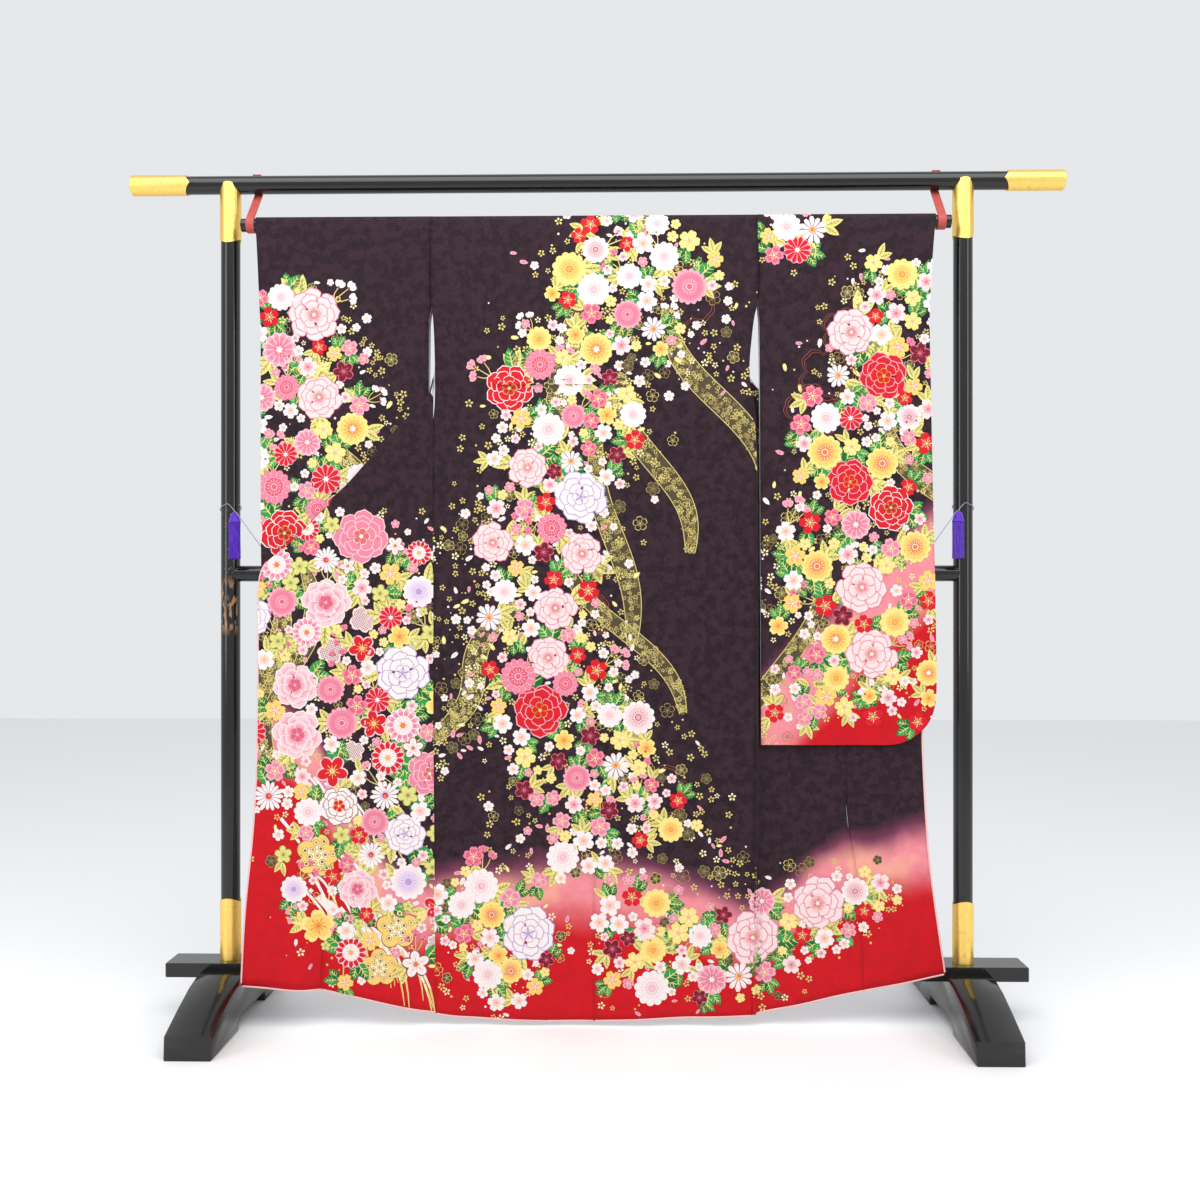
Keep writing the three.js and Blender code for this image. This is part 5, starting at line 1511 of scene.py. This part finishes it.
# How many of each the dice place along the first mass of a stretch: ribbons of gold lace, drifts of gold
# that leave it, patches of checks, patches of tortoiseshell, great bare outlines and sheaves of strands.
Scattered = namedtuple(
    "Scattered", "ribbons drifts checks tortoiseshells outlines sheaves", defaults=(0,) * 6
)
SCATTERED = {
    "body": Scattered(ribbons=6, drifts=9, outlines=3),
    "left_sleeve": Scattered(ribbons=1, drifts=3, outlines=1),
    "overlay": Scattered(ribbons=2, drifts=3, checks=4, tortoiseshells=3, sheaves=5),
    "right_sleeve": Scattered(ribbons=2, drifts=4, outlines=3),
}
DRIFT_MARKS = 90
RIBBON_STEPS = 48
STYLE_OF = {
    "body": CLASSIC, "left_sleeve": CLASSIC, "right_sleeve": CLASSIC, "overlay": OUTLINED,
    "left_sleeve_far": CLASSIC, "right_sleeve_far": CLASSIC, "fronts_far": CLASSIC,
}
DESIGN_OF = {
    "back_left": "body", "back_right": "body", "front_right": "body", "okumi_right": "body",
    "front_left": "overlay", "okumi_left": "overlay", "sleeve_left": "left_sleeve",
    "sleeve_right": "right_sleeve",
}
FAR_DESIGN_OF = {
    "sleeve_left": "left_sleeve_far", "sleeve_right": "right_sleeve_far",
    "front_left": "fronts_far", "front_right": "fronts_far",
}


def ribbon_course(pattern, path):
    """Points (x, height, half width) of a ribbon that leaves a mass, swings down and narrows at its ends."""
    dice = pattern.dice
    side = dice.choice((-1, 1))
    x, z = along(path, dice.uniform(0.1, 0.8), side * dice.uniform(0.3, 0.8))
    length, lean = dice.uniform(320, 480), side * dice.uniform(0.15, 0.75)
    swing, half_width = dice.choice((-1, 1)) * dice.uniform(14, 34), dice.uniform(15, 25)
    course = []
    for i in range(RIBBON_STEPS + 1):
        share = i / RIBBON_STEPS
        off = swing * math.sin(2 * math.pi * share)
        course.append((
            x + length * share * math.sin(lean) + off, z - length * share * math.cos(lean),
            half_width * math.sin(math.pi * (0.06 + 0.88 * share)) ** 0.5,
        ))
    return course


def drift_run(pattern, path):
    """A run of (x, height, half width) that leaves the edge of a mass and falls away from it."""
    dice = pattern.dice
    side = dice.choice((-1, 1))
    share, length = dice.random(), dice.uniform(180, 340)
    x, z = along(path, share, side * dice.uniform(0.8, 1.1))
    lean = dice.uniform(0.2, 1.1) * side
    return [(x, z, dice.uniform(26, 42)), (x + length * math.sin(lean), z - length * math.cos(lean), 22)]


def scatter(pattern, path, counts):
    """The ribbons, patches, bare outlines and sheaves of a stretch, each where the dice put it."""
    dice = pattern.dice
    for _ in range(counts.ribbons):
        lace_ribbon(pattern, ribbon_course(pattern, path))
    for _ in range(counts.sheaves):
        x, z = along(path, dice.uniform(0.5, 0.8), dice.uniform(-1.4, -0.7))
        strand_sheaf(pattern, x, z, dice.randint(7, 11))
    for _ in range(counts.checks):
        x, z = along(path, dice.uniform(0.2, 1), dice.uniform(-0.8, 0.8))
        check_patch(pattern, x, z, dice.uniform(24, 32), dice.random())
    for _ in range(counts.tortoiseshells):
        x, z = along(path, dice.uniform(0.2, 1), dice.uniform(-0.8, 0.8))
        tortoiseshell_patch(pattern, x, z, dice.uniform(34, 46), dice.random())
    for _ in range(counts.outlines):
        x, z = along(path, dice.random(), dice.choice((-0.9, 0.9)))
        great_outline(pattern, x, z, dice.uniform(45, 62))


def patterns():
    """The design of every stretch of cloth, by name."""
    made = {name: Pattern(name) for name in STYLE_OF}
    first_run = {}
    for mass in MASSES:
        first_run.setdefault(mass.stretch, mass.run)
    for name, counts in SCATTERED.items():
        scatter(made[name], first_run[name], counts)
    for mass in MASSES:
        style = STYLE_OF[mass.stretch]
        for size, count in zip(RADII, mass.tries):
            fill(made[mass.stretch], mass.run, style[size], RADII[size], count, CROWDING[size])
    for mass in MASSES:
        gold_drift(made[mass.stretch], mass.run, mass.marks)
    for name, counts in SCATTERED.items():
        for _ in range(counts.drifts):
            gold_drift(made[name], drift_run(made[name], first_run[name]), DRIFT_MARKS)
    return made


CLEAR_OF_CLOTH = 0.5  # metres: every panel lies nearer to the middle than this
FACING_SHARE = 0.5  # a face is printed where its normal has at least this much of the way it faces
EDGE_HALVINGS = 9


class Print:
    """A pattern's shapes as they come to lie on one face of a panel, cut off at the cloth's edges."""

    def __init__(self, mesh, facing):
        self.mesh, self.facing = mesh, facing
        self.tree = BVHTree.FromPolygons([v.co for v in mesh.vertices], [p.vertices for p in mesh.polygons])
        self.way = Vector((0, -facing, 0))
        self.points, self.faces, self.dyes = [], [], []

    def depth_at(self, x, z):
        """The depth of the outer cloth at (x, z), or None where there is none."""
        start = Vector((x * MM, self.facing * CLEAR_OF_CLOTH, z * MM))
        place, normal, face, _ = self.tree.ray_cast(start, self.way)
        if place is None or normal.y * self.facing < FACING_SHARE:
            return None
        return None if self.mesh.polygons[face].material_index == LINING else place.y

    def edge_between(self, inside, outside):
        """The last point of the cloth from an inside point towards an outside one."""
        for _ in range(EDGE_HALVINGS):
            middle = ((inside[0] + outside[0]) / 2, (inside[1] + outside[1]) / 2)
            if self.depth_at(*middle) is None:
                outside = middle
            else:
                inside = middle
        return inside

    def add_point(self, x, z, depth, lift):
        self.points.append((x * MM, depth + self.facing * lift * MM, z * MM))

    def cut_face(self, corners, start, placed, depths, lift):
        """The points of one face, drawn in to the cloth's edge where it runs past it."""
        kept = [depths[i] is not None for i in corners]
        face = []
        for k, i in enumerate(corners):
            after = (k + 1) % len(corners)
            if kept[k]:
                face.append(start + i)
            if kept[k] != kept[after]:
                pair = (placed[i], placed[corners[after]])
                x, z = self.edge_between(*pair) if kept[k] else self.edge_between(*reversed(pair))
                self.add_point(x, z, self.depth_at(x, z), lift)
                face.append(len(self.points) - 1)
        return face

    def add_shape(self, placed, faces, lift):
        depths = [self.depth_at(x, z) for x, z in placed]
        start = len(self.points)
        for (x, z), depth in zip(placed, depths):
            self.add_point(x, z, depth or 0, lift)
        for corners, dye_name in faces:
            face = self.cut_face(corners, start, placed, depths, lift)
            if len(face) > 2:
                self.faces.append(face if self.facing < 0 else face[::-1])
                self.dyes.append(dye_name)


def drop_loose_points(mesh):
    form = bmesh.new()
    form.from_mesh(mesh)
    loose = [v for v in form.verts if not v.link_faces]
    bmesh.ops.delete(form, geom=loose, context="VERTS")
    form.to_mesh(mesh)
    form.free()


def lay_on(name, piece, facing, pattern, dyes):
    """The pattern as thin shapes on a panel's face that looks along facing."""
    corners = [v.co for v in piece.data.vertices]
    low_x, high_x = min(c.x for c in corners) / MM, max(c.x for c in corners) / MM
    low_z, high_z = min(c.z for c in corners) / MM, max(c.z for c in corners) / MM
    laid = Print(piece.data, facing)
    for placed, faces, lift in pattern.shapes:
        beside = max(x for x, _ in placed) < low_x or min(x for x, _ in placed) > high_x
        beyond = max(z for _, z in placed) < low_z or min(z for _, z in placed) > high_z
        if not beside and not beyond:
            laid.add_shape(placed, faces, lift)
    mesh = mesh_from(name, laid.points, laid.faces, 30)
    drop_loose_points(mesh)
    place_of = {dye_name: i for i, dye_name in enumerate(dict.fromkeys(laid.dyes))}
    printed = new_piece(name, mesh, [dyes[dye_name] for dye_name in place_of])
    mesh.polygons.foreach_set("material_index", [place_of[dye_name] for dye_name in laid.dyes])
    return printed


def edge_silk():
    """Plain pale silk over wadding, puckered a little along its length."""
    finish = Finish("lining_edge", Sheen_Weight=0.1, Sheen_Roughness=0.5, Specular_IOR_Level=0.25)
    point, _, _, _ = finish.place()
    pucker = finish.noise(point, 160, 3)
    finish.drive(
        Base_Color=finish.mix(pucker, cloth_dye(250, 206, 202), cloth_dye(240, 182, 180)),
        Roughness=0.6 + pucker * 0.15,
    )
    return finish.bump(pucker, 0.3 * MM, 0.6).material


def garment():
    body = crepe_silk("silk_body", hem_tide, 0.10)
    overlay = crepe_silk("silk_left_front", overlay_tide, 0.12)
    left_sleeve = crepe_silk("silk_left_sleeve", left_sleeve_tide, 0.12)
    right_sleeve = crepe_silk("silk_right_sleeve", right_sleeve_tide, 0.17)
    lining = crepe_silk("lining", hem_tide, 0.1, folded_back=True)
    sleeve_lining = crepe_silk("sleeve_lining", right_sleeve_tide, 0.1, folded_back=True)
    panels = [
        cloth_panel("back_left", body, lining, (0.32, 1.60)),
        cloth_panel("back_right", body, lining, (0.32, 1.60)),
        cloth_panel("front_left", overlay, lining, (0.24, 1.60), 0.30),
        cloth_panel("front_right", body, lining, (0.24, 1.60), 0.30),
        cloth_panel("okumi_left", overlay, lining, (0.165, 1.0)),
        cloth_panel("okumi_right", body, lining, (0.16, 1.02)),
        cloth_panel("sleeve_left", left_sleeve, sleeve_lining, (0.35, 2.12)),
        cloth_panel("sleeve_right", right_sleeve, sleeve_lining, (0.35, 2.12)),
        cloth_panel("collar_back", body, lining, (0.055, 0.16)),
        cloth_panel("collar_left", body, lining, (0.055, 0.33)),
        cloth_panel("collar_right", body, lining, (0.055, 0.86)),
        cloth_panel("collar_left_end", body, lining, (0.055, 0.45)),
    ]
    designs = patterns()
    dyes = {name: pattern_dye(name) for name in PATTERN_DYES}
    edge = edge_silk()
    for piece, cut in panels:
        panel = piece.name.removeprefix("silk_")
        if panel in DESIGN_OF:
            lay_on(f"dyed_flowers_{panel}", piece, -1, designs[DESIGN_OF[panel]], dyes)
        if panel in FAR_DESIGN_OF:
            lay_on(f"dyed_flowers_{panel}_far", piece, 1, designs[FAR_DESIGN_OF[panel]], dyes)
        if panel in HEMMED:
            lining_edge(panel, piece.data, edge)


garment()


# ---------------------------------------------------------------- floor and light


def stage():
    floor = Finish("pale_floor", Roughness=0.55, Base_Color=(0.86, 0.86, 0.87, 1))
    half, back = 9, 6
    points = [(-half, -half, 0), (half, -half, 0), (half, back, 0), (-half, back, 0)]
    mesh = mesh_from("floor", points, [(0, 1, 2, 3)])
    plane = bpy.data.objects.new("floor", mesh)
    bpy.context.scene.collection.objects.link(plane)
    mesh.materials.append(floor.material)


def lamp(name, place, aim, size, watts):
    light = bpy.data.lights.new(name, "AREA")
    light.shape = "RECTANGLE"
    light.size, light.size_y = size
    light.energy = watts
    holder = bpy.data.objects.new(name, light)
    holder.location = place
    holder.rotation_euler = (Vector(aim) - Vector(place)).to_track_quat("-Z", "Y").to_euler()
    bpy.context.scene.collection.objects.link(holder)


def studio():
    world = bpy.data.worlds.new("studio")
    world.use_nodes = True
    world.node_tree.nodes["Background"].inputs[0].default_value = (0.93, 0.95, 0.97, 1)
    world.node_tree.nodes["Background"].inputs[1].default_value = 0.85
    bpy.context.scene.world = world
    lamp("ceiling", (0, -1.6, 3.2), (0, 0, 0.8), (3.4, 2.2), 75)
    lamp("left_window", (-2.6, -2.2, 1.6), (0, 0, 0.9), (0.9, 2.2), 22)
    lamp("right_window", (2.7, -2.0, 1.6), (0, 0, 0.9), (0.7, 2.2), 16)


stage()
studio()
bpy.context.scene.view_settings.view_transform = "Standard"
